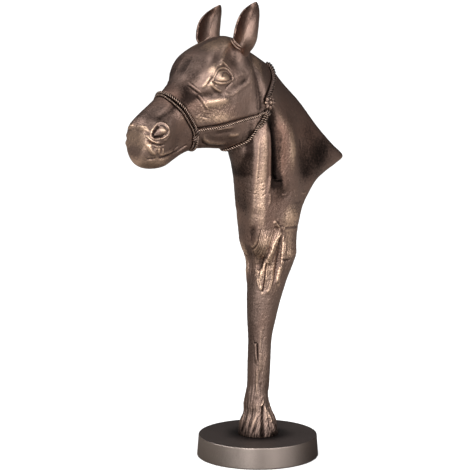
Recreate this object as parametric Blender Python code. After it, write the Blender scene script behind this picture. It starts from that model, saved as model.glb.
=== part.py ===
"""Bust of a haltered horse, cast as one piece down to a slender root-like stem, on a round base.

Metres, +Z up. The horse faces -Y, its left side is +X, and the origin is the centre of the
base's underside. The cast figure is a free form: it is drawn in units, 734 of them from its
sole to its ear tips, so that a unit is one millimetre at the real size. A drawing point (y, z)
lies in the figure's plane of symmetry, with z counted from the sole.
"""

import math

import bmesh
import bpy
import numpy as np
from mathutils import Matrix, Vector
from mathutils.bvhtree import BVHTree

# Driving dimensions, in metres
FIGURE_HEIGHT = 0.734
BASE_THICKNESS = 0.036
BASE_TOP_DIAMETER = 0.2025
BASE_BOTTOM_DIAMETER = 0.2075
BASE_EDGE_BEVEL = 0.0012
SEAT_GAP = 0.0003
NOSEBAND_ROPE = 0.0084
CHEEK_ROPE = 0.0056
THROAT_ROPE = 0.0094
CROWN_ROPE = 0.0072
ROSETTE_DIAMETER = 0.0150
SIDE_KNOT_DIAMETER = 0.0140
JOINT_KNOT_DIAMETER = 0.0110
ROPE_LIFT = 0.45

# How finely the shapes are faceted
RING_POINTS = 112
RING_SPACING = 4.0
BODY_TRIANGLES = 5150
ROPE_SIDES = 6
ROPE_STEPS = 30
EAR_POINTS = 20
EAR_RINGS = 14
BASE_SEGMENTS = 64

UNIT = FIGURE_HEIGHT / 734
SOLE_HEIGHT = BASE_THICKNESS + SEAT_GAP

# Cross-sections of the figure. Each has its ventral point (y, z) and its dorsal point (y, z) in
# the plane of symmetry, and its half-widths where a circle's rim would be turned 30, 60, 90,
# 120 and 150 degrees from the ventral point.
SECTIONS = (
    # Head, from the lips to the poll
    ((-256, 501), (-256, 516), (4, 7, 8, 7, 4)),
    ((-256, 488), (-254.5, 530), (11, 18, 20, 16.5, 10)),
    ((-251, 478), (-251, 542.5), (14, 23, 28, 24.5, 14)),
    ((-239, 471.5), (-244.5, 552.5), (17, 27, 33, 30.5, 17)),
    ((-221, 469.5), (-232, 563.5), (17, 27, 35, 34.5, 19)),
    ((-201, 472), (-217, 576), (14, 24, 33, 34, 18)),
    ((-184, 480), (-199, 590), (12, 20, 30, 31, 18)),
    ((-163, 490), (-184, 601), (12, 21, 30, 33, 21)),
    ((-140, 496), (-169, 615), (14, 25, 34, 36.5, 25.5)),
    ((-118, 496.5), (-155.5, 632), (18, 31, 41, 45.5, 36)),
    ((-98, 495), (-140.5, 651.5), (20, 35, 45, 49, 41.5)),
    ((-82, 493.5), (-121.5, 664.5), (21, 37, 46, 47, 38)),
    ((-70, 492.5), (-99.5, 673), (22, 37, 46, 46, 34)),
    ((-61, 491), (-76, 678), (22, 36, 44, 43, 29)),
    # Throat and crest
    ((-57, 489), (-51, 671), (22, 34, 41, 39, 24)),
    ((-55, 485.5), (-27, 654.5), (22, 33, 38, 33, 17)),
    ((-54, 480), (-3.5, 641.5), (22, 33, 37, 32, 16)),
    ((-51, 471.5), (24, 624), (23, 33, 36, 30, 14)),
    ((-47.5, 461.5), (54, 595), (24, 34, 36, 28, 13)),
    ((-44.5, 450), (90, 563), (26, 35, 36, 26, 12)),
    ((-42, 438), (129, 521), (27, 35, 35, 24, 11.5)),
    ((-40, 426), (165, 488), (28, 35, 34, 21, 10.5)),
    ((-38.3, 418), (190.5, 466.5), (28.6, 35.6, 33, 19, 9)),
    # Broken underside of the neck, back to the stem
    ((-37.5, 414), (176, 455), (28.3, 35.3, 33, 21, 10)),
    ((-35.5, 406), (152, 444), (28, 35, 33, 23, 12)),
    ((-33.5, 396), (126, 431), (28, 34, 33, 27, 17)),
    ((-31, 384), (107, 411), (28, 34, 33, 28, 19)),
    ((-30, 368), (90, 388), (28, 33, 33, 28, 20)),
    ((-28, 348), (80, 362), (27, 32, 32, 28, 21)),
    ((-25, 330), (75, 338), (26, 31, 31, 28, 21)),
    ((-18.5, 318), (74, 320), (24, 29, 30, 28, 21)),
    ((-12, 306), (74, 306), (22, 27, 29, 27, 20)),
    ((-11, 290), (68, 290), (20, 26, 28, 26, 18)),
    ((-15, 264), (58, 264), (16, 23, 25, 22, 14)),
    # Stem and foot
    ((-18, 230), (45, 230), (13, 20, 22, 19, 12)),
    ((-18, 197), (34, 197), (11, 18, 20.5, 18, 11)),
    ((-16, 164), (25, 164), (10, 16.5, 19, 16.5, 10)),
    ((-17, 124), (22, 124), (10, 17, 19.5, 17, 10)),
    ((-18, 89), (20, 89), (9.5, 16, 18.5, 16, 9.5)),
    ((-21, 69), (15.5, 69), (9, 16, 18.3, 16, 9)),
    ((-22.5, 54), (17.5, 54), (10, 17.5, 20, 17.5, 10.5)),
    ((-23, 39), (23, 39), (11.8, 20.5, 23.5, 20.5, 11.8)),
    ((-28, 24), (29, 24), (15, 25, 29, 25, 15)),
    ((-32, 8), (33, 8), (17, 29, 33, 29, 17)),
    ((-33, 0), (34, 0), (17, 29.5, 34, 29.5, 17)),
)
LIP_POLE = (-257, 509)
# Where the rings fan round the crest's tip, and how often they are evened out there, away from
# the tip itself
FAN_FIRST, FAN_LAST = 18, 26.5
FAN_ROUNDS = 24
SOLE_POLE = (0, 0)

# Swellings and hollows of the carving, as the side (1 left, -1 right, 0 both), centre (y, z),
# radii and height
SWELLINGS = (
    (0, (-145, 622), (17, 20), 2.2),
    (0, (-113, 611), (13, 8), 4),
    (0, (-86, 642), (17, 13), -4),
    (0, (-68, 650), (17, 15), 5),
    (0, (-134, 586), (22, 6), -2.2),
    (0, (-228, 536), (21, 16), 3),
    (0, (-229, 534), (9, 6.5), -5),
    (0, (-95, 540), (46, 30), 3),
    (0, (-214, 479), (17, 8), 2),
    (0, (78, 470), (26, 44), -6),
    (0, (24, 412), (20, 14), -1.2),
    (1, (50, 372), (16, 14), 3),
    (-1, (40, 350), (15, 24), -3),
)
# Ridges and grooves, as the side, a path of (y, z) points, half-width, height, and the share of
# the path over which each end fades out
RIDGES = (
    # Head: facial crest, mouth
    (0, ((-156, 570), (-132, 575), (-92, 580)), 8, 2.6, 0.25),
    (0, ((-262, 489), (-232, 489), (-206, 495), (-185, 502)), 4, -3.5, 0.12),
    # Neck: front column, groove, second column and the ledge they end at
    (0, ((-17, 540), (-18, 490), (-20, 440), (-24, 382), (-22, 352)), 13, 2.5, 0.2),
    (0, ((-6, 562), (0, 540), (5, 517), (7, 489), (8, 461), (9, 437)), 9, -5.5, 0.2),
    (0, ((25, 560), (37, 524), (47, 493), (51, 467), (53, 445)), 15, 3.4, 0.3),
    (0, ((4, 427), (40, 426)), 8, 1.2, 0.3),
    # Split wood under the neck, left side
    (1, ((-4, 362), (-10, 346), (-13, 321), (-12, 300)), 10, 1.6, 0.3),
    (1, ((26, 353), (14, 340), (8, 323), (4, 306), (3, 290)), 5, 3.4, 0.2),
    (1, ((26, 346), (23, 320), (21, 298), (18, 272), (14, 254)), 5, -3.8, 0.2),
    (1, ((-1, 299), (-2, 279), (-6, 247)), 3.5, -3, 0.2),
    (1, ((34, 344), (32, 318), (29, 296), (24, 276), (19, 256)), 5, 2.6, 0.25),
    (1, ((29, 356), (70, 353)), 3.5, -2, 0.2),
    # Split wood under the neck, right side
    (-1, ((10, 392), (-2, 350), (-10, 300), (-14, 250)), 9, 4, 0.2),
    (-1, ((30, 372), (18, 322), (10, 268), (8, 240)), 7, -5, 0.2),
    (-1, ((44, 388), (36, 330), (28, 276), (22, 236)), 9, 3, 0.2),
    # Stem: a groove beside a ridge
    (0, ((-24, 160), (-19, 138), (-14, 118)), 4, -4, 0.15),
    (0, ((-9, 176), (-11, 145), (-13, 92)), 6, 2, 0.1),
    # Root-like foot
    (0, ((-22, 76), (-29, 49), (-36, 14), (-38, -4)), 4, -6, 0.1),
    (0, ((-11, 72), (-13, 43), (-17, 14), (-18, -4)), 4, -8, 0.1),
    (0, ((2, 60), (8, 26), (11, -4)), 4.5, -6, 0.1),
    (0, ((14, 54), (21, 26), (26, -4)), 4, -4, 0.1),
)
JAW_EDGE = ((-50, 648), (-42, 628), (-36, 605), (-30, 575), (-29, 550), (-36, 522), (-50, 505), (-75, 494))
JAW_RISE, JAW_REACH = 4.5, 28
JAW_HOLLOW, JAW_HOLLOW_REACH = 7, 13

# Halter: the left half of each rope as guide points (x, y, z) that are then laid on the surface.
# The first point of a rope that goes round the head is its middle, at the top or underneath.
NOSEBAND_GUIDE = ((0, -199, 591), (20, -189, 580), (28, -179, 567), (33, -170, 553), (33, -162, 540),
                  (32, -153, 525), (24, -147, 509), (0, -144, 499))
CHEEK_GUIDE = ((35, -151, 526), (42, -95, 535), (44, -54, 543), (42, -12, 550))
THROAT_GUIDE = ((0, -73, 491), (17, -65, 494), (28, -53, 499), (37, -40, 511), (40, -29, 526), (41, -18, 541),
                (42, -11, 550))
CROWN_GUIDE = ((0, 19, 628), (13, 20, 615), (20, 15, 603), (28, 5, 592), (35, -4, 581), (39, -8, 569))
SIDE_KNOT = (35, -151, 525)
JOINT_KNOT = (42, -11, 550)
ROSETTE = (39, -6, 568)

# Left ear, from its root to its tip: the middle of each section (x, y, z), half-width, half-depth,
# the angle from the back to each rim, how hollow the front is (0 to 1) and its turn outwards
EAR_SECTIONS = (
    ((24, -62, 632), 7, 9, 100, 0.0, 0),
    ((31, -64, 647), 11, 13, 105, 0.1, 0),
    ((41, -67, 661), 17, 18.5, 115, 0.6, -1),
    ((45.5, -68, 672), 19.5, 21, 121, 0.9, -3),
    ((47, -67, 684), 19.8, 21, 121, 1.0, -4),
    ((47.5, -65, 696), 19.5, 20.5, 117, 1.0, -4),
    ((47.5, -61.5, 708), 18, 18.5, 113, 1.0, -2),
    ((46.8, -56, 719), 14.5, 14.8, 107, 0.95, 3),
    ((45.8, -49, 728), 8, 8.5, 100, 0.6, 8),
    ((45, -43.5, 733.4), 1.8, 2.2, 92, 0.1, 8),
)
EAR_WALL = 0.2
RIGHT_EAR_DROP = 6
RIGHT_EAR_LEAN = 4


def spline(values, at):
    """Catmull-Rom curve through rows of values, one unit apart, read at the places in at."""
    values = np.asarray(values, float)
    first, last = 2 * values[0] - values[1], 2 * values[-1] - values[-2]
    knots = np.vstack([first, values, last])
    span = np.clip(np.floor(at).astype(int), 0, len(values) - 2)
    t = (np.asarray(at) - span)[:, None]
    a, b, c, d = (knots[span + k] for k in range(4))
    return 0.5 * (2 * b + (c - a) * t + (2 * a - 5 * b + 4 * c - d) * t**2 + (3 * b - a - 3 * c + d) * t**3)


def ring_places(spacing):
    """Where along the sections the rings lie: each span is split by its longer side."""
    places = []
    for i in range(len(SECTIONS) - 1):
        (v0, d0, _), (v1, d1, _) = SECTIONS[i], SECTIONS[i + 1]
        longest = max(math.dist(v0, v1), math.dist(d0, d1))
        parts = max(1, round(longest / spacing))
        places += [i + k / parts for k in range(parts)]
    return np.array(places + [len(SECTIONS) - 1.0])


def evened(points, rounds):
    """Points evened out from ring to ring, each half itself and a quarter of either neighbour."""
    for _ in range(rounds):
        middle = (points[:-2] + 2 * points[1:-1] + points[2:]) / 4
        points = np.concatenate([points[:1], middle, points[-1:]])
    return points


def body_rings(spacing, around):
    """Points of the plain body, [ring, point, xyz], with a sine series for each ring's half-width."""
    table = np.array([[*v, *d, *w] for v, d, w in SECTIONS], float)
    places = ring_places(spacing)
    rows = spline(table, places)
    turns = np.radians([30, 60, 90, 120, 150])
    harmonics = np.arange(1, 6)
    series = np.linalg.solve(np.sin(np.outer(turns, harmonics)), rows[:, 4:].T).T
    turn = np.arange(around) * 2 * math.pi / around
    x = series @ np.sin(np.outer(harmonics, turn))
    share = (1 - np.cos(turn)) / 2
    y = rows[:, [0]] + (rows[:, [2]] - rows[:, [0]]) * share
    z = rows[:, [1]] + (rows[:, [3]] - rows[:, [1]]) * share
    points = np.stack([x, y, z], axis=-1)
    fan = np.clip(np.minimum(places - FAN_FIRST, FAN_LAST - places) / 2, 0, 1)[:, None, None]
    inner = np.clip((0.75 - share) / 0.4, 0, 1)[:, None]
    return points + fan * inner * (evened(points, FAN_ROUNDS) - points)


def ring_normals(points):
    """Outward unit normals of a grid of rings, from its neighbours along and around."""
    along = np.gradient(points, axis=0)
    around = np.roll(points, -1, axis=1) - np.roll(points, 1, axis=1)
    normals = np.cross(along, around)
    return normals / np.maximum(np.linalg.norm(normals, axis=-1, keepdims=True), 1e-9)


def path_distance(y, z, path):
    """Distance to a path of (y, z) points, its sign (positive on the left of its travel) and the share travelled."""
    path = np.asarray(path, float)
    steps = np.diff(path, axis=0)
    lengths = np.linalg.norm(steps, axis=1)
    travelled = np.concatenate([[0], np.cumsum(lengths)])
    best = np.full(y.shape, np.inf)
    side = np.zeros(y.shape)
    share = np.zeros(y.shape)
    for start, step, length, before in zip(path[:-1], steps, lengths, travelled):
        dy, dz = y - start[0], z - start[1]
        t = np.clip((dy * step[0] + dz * step[1]) / length**2, 0, 1)
        away = np.hypot(dy - t * step[0], dz - t * step[1])
        nearer = away < best
        best = np.where(nearer, away, best)
        side = np.where(nearer, np.sign(step[0] * dz - step[1] * dy), side)
        share = np.where(nearer, (before + t * length) / travelled[-1], share)
    return best, side, share


def carving(points):
    """How far each point is raised along its normal, in units."""
    x, y, z = (points[..., k] for k in range(3))
    aside = np.clip(np.abs(x) / 12, 0, 1) ** 2
    on_side = {0: aside, 1: aside * (x > 0), -1: aside * (x < 0)}
    height = np.zeros(x.shape)
    for side, (cy, cz), (ry, rz), rise in SWELLINGS:
        height += rise * np.exp(-(((y - cy) / ry) ** 2) - ((z - cz) / rz) ** 2) * on_side[side]
    for side, path, width, rise, ends in RIDGES:
        away, _, share = path_distance(y, z, path)
        fade = np.clip(np.minimum(share, 1 - share) / ends, 0, 1)
        height += rise * np.exp(-((away / width) ** 2)) * fade * on_side[side]
    away, side, share = path_distance(y, z, JAW_EDGE)
    fade = np.clip(np.minimum(share, 1 - share) * 7, 0, 1) * aside
    raised = JAW_RISE * np.exp(-((away / JAW_REACH) ** 2))
    hollow = -JAW_HOLLOW * np.exp(-((away / JAW_HOLLOW_REACH) ** 2))
    blend = np.clip(0.5 - side * away / 5, 0, 1)
    return height + fade * (raised * blend + hollow * (1 - blend))


def placed(points):
    """Drawing units turned into metres, with the sole on the base."""
    return points * UNIT + np.array([0, 0, SOLE_HEIGHT])


def mesh_of_rings(name, rings, first_pole=None, last_pole=None):
    """A closed mesh from rings of points, each end shut by a fan to its pole or by one flat face."""
    count, around, _ = rings.shape
    mesh = bmesh.new()
    rows = [[mesh.verts.new(point) for point in ring] for ring in rings]
    for a, b in zip(rows[:-1], rows[1:]):
        for k in range(around):
            n = (k + 1) % around
            mesh.faces.new((a[k], a[n], b[n], b[k]))
    for row, pole in ((rows[0][::-1], first_pole), (rows[-1], last_pole)):
        if pole is None:
            mesh.faces.new(row)
            continue
        tip = mesh.verts.new(pole)
        for k in range(around):
            mesh.faces.new((row[k], row[(k + 1) % around], tip))
    bmesh.ops.recalc_face_normals(mesh, faces=mesh.faces)
    data = bpy.data.meshes.new(name)
    mesh.to_mesh(data)
    mesh.free()
    return data


def new_object(name, data):
    made = bpy.data.objects.new(name, data)
    bpy.context.scene.collection.objects.link(made)
    return made


def body_mesh():
    """The figure without its ears and halter, its facets made larger wherever it is smooth."""
    plain = body_rings(RING_SPACING, RING_POINTS)
    carved = plain + ring_normals(plain) * carving(plain)[..., None]
    carved[-1, :, 2] = 0
    lip = placed(np.array([0, *LIP_POLE], float))
    sole = placed(np.array([0, *SOLE_POLE], float))
    fine = mesh_of_rings("fine", placed(carved), lip, sole)
    guide = new_object("fine_body", fine)
    fewer = guide.modifiers.new("fewer", "DECIMATE")
    triangles = sum(len(face.vertices) - 2 for face in fine.polygons)
    fewer.ratio = BODY_TRIANGLES / triangles
    fewer.use_symmetry = True
    fewer.symmetry_axis = "X"
    result = bpy.data.meshes.new_from_object(guide.evaluated_get(bpy.context.evaluated_depsgraph_get()))
    result.name = "horse"
    bpy.data.objects.remove(guide)
    return result


def ear_mesh(side):
    """A leaf-shaped ear, round at the back and hollow in front; side is 1 for the left and -1 for the right.
    The front lies between the chord of the rims and the back wall drawn inwards."""
    table = np.array([[*middle, *rest] for middle, *rest in EAR_SECTIONS])
    rows = spline(table, np.linspace(0, len(EAR_SECTIONS) - 1, EAR_RINGS))
    share = np.linspace(-1, 1, EAR_POINTS // 2)
    rings = []
    root, tip = rows[0, 2], rows[-1, 2]
    if side < 0:
        rows[:, 0] += RIGHT_EAR_LEAN * np.clip((rows[:, 2] - root) / 30, 0, 1)
        rows[:, 2] = root + (rows[:, 2] - root) * (tip - RIGHT_EAR_DROP - root) / (tip - root)
    for x, y, z, width, depth, rim, hollow, turn in rows:
        angle = math.radians(rim) * share
        inner = 1 - EAR_WALL
        across = width * np.sin(angle)
        deep = depth * np.cos(angle)
        chord = across[-1] * share * inner
        front_across = chord + (across * inner - chord) * hollow
        front_deep = deep[-1] + (deep * inner - deep[-1]) * hollow
        ring_x = np.concatenate([across, front_across[::-1]])
        ring_y = np.concatenate([deep, front_deep[::-1]])
        c, s = math.cos(math.radians(turn)), math.sin(math.radians(turn))
        rings.append(np.stack([x + ring_x * c - ring_y * s, y + ring_x * s + ring_y * c,
                               np.full(EAR_POINTS, z)], axis=-1))
    rings = np.array(rings) * (side, 1, 1)
    return mesh_of_rings("ear", placed(rings))


def laid_on(surface, guide, side, steps, lift):
    """Points and normals of a path laid on the surface, from a curve through its guide points."""
    guide = np.array(guide, float) * (side, 1, 1)
    curve = spline(guide, np.linspace(0, len(guide) - 1, steps))
    points, normals = [], []
    for place in placed(curve):
        spot, normal, _, _ = surface.find_nearest(Vector(place))
        points.append(spot + normal * lift)
        normals.append(normal)
    return points, normals


def both_sides(surface, guide, steps, lift, closed):
    """A path laid round the head: the left half run backwards to the middle, then the right half."""
    left, left_normals = laid_on(surface, guide, 1, steps, lift)
    right, right_normals = laid_on(surface, guide, -1, steps, lift)
    points, normals = left[:0:-1] + right, left_normals[:0:-1] + right_normals
    if closed:
        return points[1:], normals[1:]
    return points, normals


def rope_mesh(points, normals, radius, closed):
    """A round tube along points, each of its rings set square to the path with a corner on the normal."""
    count = len(points)
    rings = []
    for k, (point, normal) in enumerate(zip(points, normals)):
        before = points[k - 1] if closed or k > 0 else point
        after = points[(k + 1) % count] if closed or k < count - 1 else point
        along = (after - before).normalized()
        up = (normal - along * normal.dot(along)).normalized()
        across = along.cross(up)
        turns = [2 * math.pi * s / ROPE_SIDES for s in range(ROPE_SIDES)]
        rings.append([point + (up * math.cos(t) + across * math.sin(t)) * radius for t in turns])
    if not closed:
        return mesh_of_rings("rope", np.array(rings))
    mesh = bmesh.new()
    rows = [[mesh.verts.new(point) for point in ring] for ring in rings]
    for a, b in zip(rows, rows[1:] + rows[:1]):
        for k in range(ROPE_SIDES):
            n = (k + 1) % ROPE_SIDES
            mesh.faces.new((a[k], a[n], b[n], b[k]))
    bmesh.ops.recalc_face_normals(mesh, faces=mesh.faces)
    data = bpy.data.meshes.new("rope")
    mesh.to_mesh(data)
    mesh.free()
    return data


def knot_mesh(surface, spot, side, diameter):
    """A flattened ball set half into the surface."""
    hit, normal, _, _ = surface.find_nearest(Vector(placed(np.array(spot, float) * (side, 1, 1))))
    mesh = bmesh.new()
    bmesh.ops.create_icosphere(mesh, subdivisions=2, radius=diameter / 2)
    turned = normal.to_track_quat("Z", "Y").to_matrix().to_4x4()
    bmesh.ops.transform(mesh, matrix=Matrix.Translation(hit + normal * diameter * 0.12) @ turned
                        @ Matrix.Diagonal((1, 1, 0.7, 1)), verts=mesh.verts)
    data = bpy.data.meshes.new("knot")
    mesh.to_mesh(data)
    mesh.free()
    return data


def halter_meshes(surface):
    """Every rope and knot of the halter, as closed meshes that bite into the figure."""
    made = []
    for guide, thickness, closed in ((NOSEBAND_GUIDE, NOSEBAND_ROPE, True), (THROAT_GUIDE, THROAT_ROPE, False),
                                     (CROWN_GUIDE, CROWN_ROPE, False)):
        radius = thickness / 2
        path = both_sides(surface, guide, ROPE_STEPS // 2, radius * ROPE_LIFT, closed)
        made.append(rope_mesh(*path, radius, closed))
    for side in (1, -1):
        radius = CHEEK_ROPE / 2
        path = laid_on(surface, CHEEK_GUIDE, side, ROPE_STEPS // 2, radius * ROPE_LIFT)
        made.append(rope_mesh(*path, radius, False))
        made.append(knot_mesh(surface, SIDE_KNOT, side, SIDE_KNOT_DIAMETER))
        made.append(knot_mesh(surface, JOINT_KNOT, side, JOINT_KNOT_DIAMETER))
        made.append(knot_mesh(surface, ROSETTE, side, ROSETTE_DIAMETER))
    return made


def material(name, colour, roughness):
    made = bpy.data.materials.new(name)
    made.use_nodes = True
    shader = made.node_tree.nodes["Principled BSDF"]
    shader.inputs["Base Color"].default_value = (*colour, 1)
    shader.inputs["Metallic"].default_value = 1
    shader.inputs["Roughness"].default_value = roughness
    return made


def make_horse(bronze):
    """The cast figure: body, ears and halter joined into one solid."""
    data = body_mesh()
    points = [v.co for v in data.vertices]
    surface = BVHTree.FromPolygons(points, [p.vertices for p in data.polygons])
    horse = new_object("horse_figure", data)
    helpers = bpy.data.collections.new("joined_parts")
    bpy.context.scene.collection.children.link(helpers)
    for number, mesh in enumerate([ear_mesh(1), ear_mesh(-1), *halter_meshes(surface)]):
        helper = bpy.data.objects.new(f"joined_{number:02d}", mesh)
        helper.hide_render = True
        helper.display_type = "WIRE"
        helpers.objects.link(helper)
    helpers.hide_render = True
    union = horse.modifiers.new("join", "BOOLEAN")
    union.operation = "UNION"
    union.operand_type = "COLLECTION"
    union.collection = helpers
    union.solver = "EXACT"
    data.materials.append(bronze)
    return horse


def make_base(bronze):
    """The round base: a disc that widens a little downwards, with a fine bevel on its rims."""
    mesh = bmesh.new()
    profile = [(BASE_BOTTOM_DIAMETER / 2, 0), (BASE_TOP_DIAMETER / 2, BASE_THICKNESS)]
    bmesh.ops.create_cone(mesh, cap_ends=True, segments=BASE_SEGMENTS, radius1=profile[0][0],
                          radius2=profile[1][0], depth=BASE_THICKNESS)
    bmesh.ops.translate(mesh, verts=mesh.verts, vec=(0, 0, BASE_THICKNESS / 2))
    data = bpy.data.meshes.new("round_base")
    mesh.to_mesh(data)
    mesh.free()
    base = new_object("round_base", data)
    bevel = base.modifiers.new("rim", "BEVEL")
    bevel.width = BASE_EDGE_BEVEL
    bevel.segments = 1
    bevel.limit_method = "ANGLE"
    bevel.angle_limit = math.radians(40)
    data.materials.append(bronze)
    return base


def main():
    for old in list(bpy.data.objects):
        bpy.data.objects.remove(old)
    make_horse(material("antique_bronze", (0.33, 0.23, 0.17), 0.36))
    make_base(material("brushed_bronze", (0.32, 0.26, 0.22), 0.42))


main()
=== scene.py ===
import math

import bpy
import numpy as np
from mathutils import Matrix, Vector
from mathutils.bvhtree import BVHTree


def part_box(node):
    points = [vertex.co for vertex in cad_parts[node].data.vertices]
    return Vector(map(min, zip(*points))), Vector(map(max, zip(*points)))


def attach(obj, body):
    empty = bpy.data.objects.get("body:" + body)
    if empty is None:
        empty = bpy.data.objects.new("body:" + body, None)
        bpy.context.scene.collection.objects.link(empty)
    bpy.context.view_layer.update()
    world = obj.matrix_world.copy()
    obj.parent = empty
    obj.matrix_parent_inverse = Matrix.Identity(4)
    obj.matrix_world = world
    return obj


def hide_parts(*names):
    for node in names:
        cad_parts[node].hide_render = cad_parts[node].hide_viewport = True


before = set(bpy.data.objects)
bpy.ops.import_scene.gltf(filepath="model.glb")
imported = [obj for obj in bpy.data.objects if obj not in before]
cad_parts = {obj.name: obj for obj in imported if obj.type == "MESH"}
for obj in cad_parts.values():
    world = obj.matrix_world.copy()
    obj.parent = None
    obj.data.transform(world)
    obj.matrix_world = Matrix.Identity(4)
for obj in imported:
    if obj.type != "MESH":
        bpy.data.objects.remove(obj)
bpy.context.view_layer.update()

# Camera: on a line 50 degrees round from the nose towards the horse's left
cameraView = {
    "azimuth": 50.0,
    "distance": 3.0,       # metres from the base's axis
    "height": 0.8063,
    "pitch": 8.11,         # degrees downwards
    "turn": 0.7405,        # degrees to the left of the axis
    "sensor": 36,          # millimetres, as is the lens
    "lens": 137.7,
}

# The figure is drawn in units counted from its sole, as many as it is high to the ear tips,
# so that one unit is about a millimetre
figureHeight = 733.4
soleCorner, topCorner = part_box("horse_figure")
baseLow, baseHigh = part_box("round_base")
unit = (topCorner[2] - soleCorner[2]) / figureHeight
bothSides = {"left": 1, "right": -1}


# Drawing units turned into metres: scaled about the middle of the base and lifted onto it
def placed(points):
    return np.asarray(points, float) * unit + (0, 0, soleCorner[2])


def unitLength(vectors):
    return vectors / np.linalg.norm(vectors, axis=-1, keepdims=True)


# Bell curve exp(-(distance / width)^2)
def bell(distance, width):
    return np.exp(-((distance / width) ** 2))


# Angles of points spread evenly round a circle
def turnsRound(count):
    return np.arange(count) * 2 * math.pi / count


# Catmull-Rom curve through rows of values one unit apart, read at the places in at: each span
# is the cubic that passes both its ends with the slope of its neighbours' chord
def spline(values, at):
    values = np.asarray(values, float)
    knots = np.vstack([2 * values[0] - values[1], values, 2 * values[-1] - values[-2]])
    span = np.clip(np.floor(at).astype(int), 0, len(values) - 2)
    t = (np.asarray(at) - span)[:, None]
    a, b, c, d = (knots[span + k] for k in range(4))
    return 0.5 * (2 * b + (c - a) * t + (2 * a - 5 * b + 4 * c - d) * t**2 + (3 * b - a - 3 * c + d) * t**3)


# Whole numbers scrambled into values from -1 to 1, one for each lattice corner and seed
def scatter(ix, iy, iz, seed):
    key = ix * 73856093 ^ iy * 19349663 ^ iz * 83492791 ^ (seed * 2654435761 & 0xFFFFFFFF)
    key = (key ^ (key >> 13)) * 1274126177 & 0xFFFFFFFF
    key = (key ^ (key >> 16)) * 2246822519 & 0xFFFFFFFF
    return ((key ^ (key >> 15)) & 0xFFFF) / 32767.5 - 1


# Smooth noise: scattered values at the corners of cells of the given size, blended by the
# smooth step 3t^2 - 2t^3 along each axis
def noise(points, size, seed):
    cell = points / size
    low = np.floor(cell).astype(np.int64)
    part = cell - low
    part = part * part * (3 - 2 * part)
    total = np.zeros(points.shape[:-1])
    for corner in np.ndindex(2, 2, 2):
        weight = np.prod(np.where(corner, part, 1 - part), axis=-1)
        total += weight * scatter(*np.moveaxis(low + corner, -1, 0), seed)
    return total


# Noise of several sizes: each layer is half as large and half as high as the one before
def layeredNoise(points, size, seed, layers=3):
    return sum(noise(points, size / 2**k, seed + k) / 2**k for k in range(layers))


# Distance from each point to the nearest of the dots scattered one to a cell, in cell widths
def dotDistance(points, size, seed):
    cell = points / size
    low = np.floor(cell).astype(np.int64)
    nearest = np.full(points.shape[:-1], 9.0)
    for corner in np.ndindex(3, 3, 3):
        near = np.moveaxis(low + corner - 1, -1, 0)
        away = sum((near[k] + 0.5 + 0.45 * scatter(*near, seed + k) - cell[..., k]) ** 2 for k in range(3))
        nearest = np.minimum(nearest, away)
    return np.sqrt(nearest)


# 0 below low, 1 above high, and the smooth step between
def smoothStep(value, low, high):
    t = np.clip((value - low) / (high - low), 0, 1)
    return t * t * (3 - 2 * t)


# Distance of side-view points (y, z) from a path, which side of its travel they are on, and the
# share of its length passed at the nearest point
def pathDistance(y, z, path):
    path = np.asarray(path, float)
    steps = np.diff(path, axis=0)
    lengths = np.linalg.norm(steps, axis=1)
    passed = np.concatenate([[0], np.cumsum(lengths)])
    best = np.full(y.shape, np.inf)
    side = np.zeros(y.shape)
    share = np.zeros(y.shape)
    for start, step, length, before in zip(path[:-1], steps, lengths, passed):
        dy, dz = y - start[0], z - start[1]
        t = np.clip((dy * step[0] + dz * step[1]) / length**2, 0, 1)
        away = np.hypot(dy - t * step[0], dz - t * step[1])
        nearer = away < best
        best = np.where(nearer, away, best)
        side = np.where(nearer, np.sign(step[0] * dz - step[1] * dy), side)
        share = np.where(nearer, (before + t * length) / passed[-1], share)
    return best, side, share


# Outward unit normals of a grid of rings: the cross product of its steps along and around
def gridNormals(points):
    around = np.roll(points, -1, axis=1) - np.roll(points, 1, axis=1)
    normals = np.cross(np.gradient(points, axis=0), around)
    return normals / np.maximum(np.linalg.norm(normals, axis=-1, keepdims=True), 1e-9)


# Numbers of a grid's points, counted from offset, and the quads between neighbouring rings
def ringQuads(count, around, offset=0, closed=False):
    index = np.arange(count * around).reshape(count, around) + offset
    rings = np.vstack([index, index[:1]]) if closed else index
    turned = np.roll(rings, -1, axis=1)
    return index, np.stack([rings[:-1], turned[:-1], turned[1:], rings[1:]], axis=-1).reshape(-1, 4)


# A smooth-shaded mesh, with fields of one number for each point
def smoothMesh(name, points, faces, fields):
    mesh = bpy.data.meshes.new(name)
    mesh.from_pydata(points.tolist(), [], faces)
    mesh.polygons.foreach_set("use_smooth", np.ones(len(mesh.polygons), bool))
    for label, values in fields.items():
        layer = mesh.attributes.new(label, "FLOAT", "POINT")
        layer.data.foreach_set("value", np.ascontiguousarray(values, np.float32))
    mesh.update()
    return mesh


# A closed mesh from a grid of rings, in metres: quads between neighbouring rings, and each end
# drawn together by triangles to its pole, the middle of the end ring where none is given
def meshOfRings(name, rings, fields, poles=None):
    count, around, _ = rings.shape
    index, quads = ringQuads(count, around)
    turned = np.roll(index, -1, axis=1)
    first = np.stack([turned[0], index[0], np.full(around, count * around)], axis=-1)
    last = np.stack([index[-1], turned[-1], np.full(around, count * around + 1)], axis=-1)
    poles = poles or (rings[0].mean(axis=0), rings[-1].mean(axis=0))
    points = np.vstack([rings.reshape(-1, 3), *poles])
    corner = points[quads[:, 0]]
    facing = np.cross(points[quads[:, 1]] - corner, points[quads[:, 3]] - corner)
    if np.sum(facing * (corner - points.mean(axis=0))) < 0:
        quads, first, last = quads[:, ::-1], first[:, ::-1], last[:, ::-1]
    fields = {label: np.append(field, [field[0].mean(), field[-1].mean()])
              for label, field in fields.items()}
    return smoothMesh(name, points, quads.tolist() + first.tolist() + last.tolist(), fields)


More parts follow.
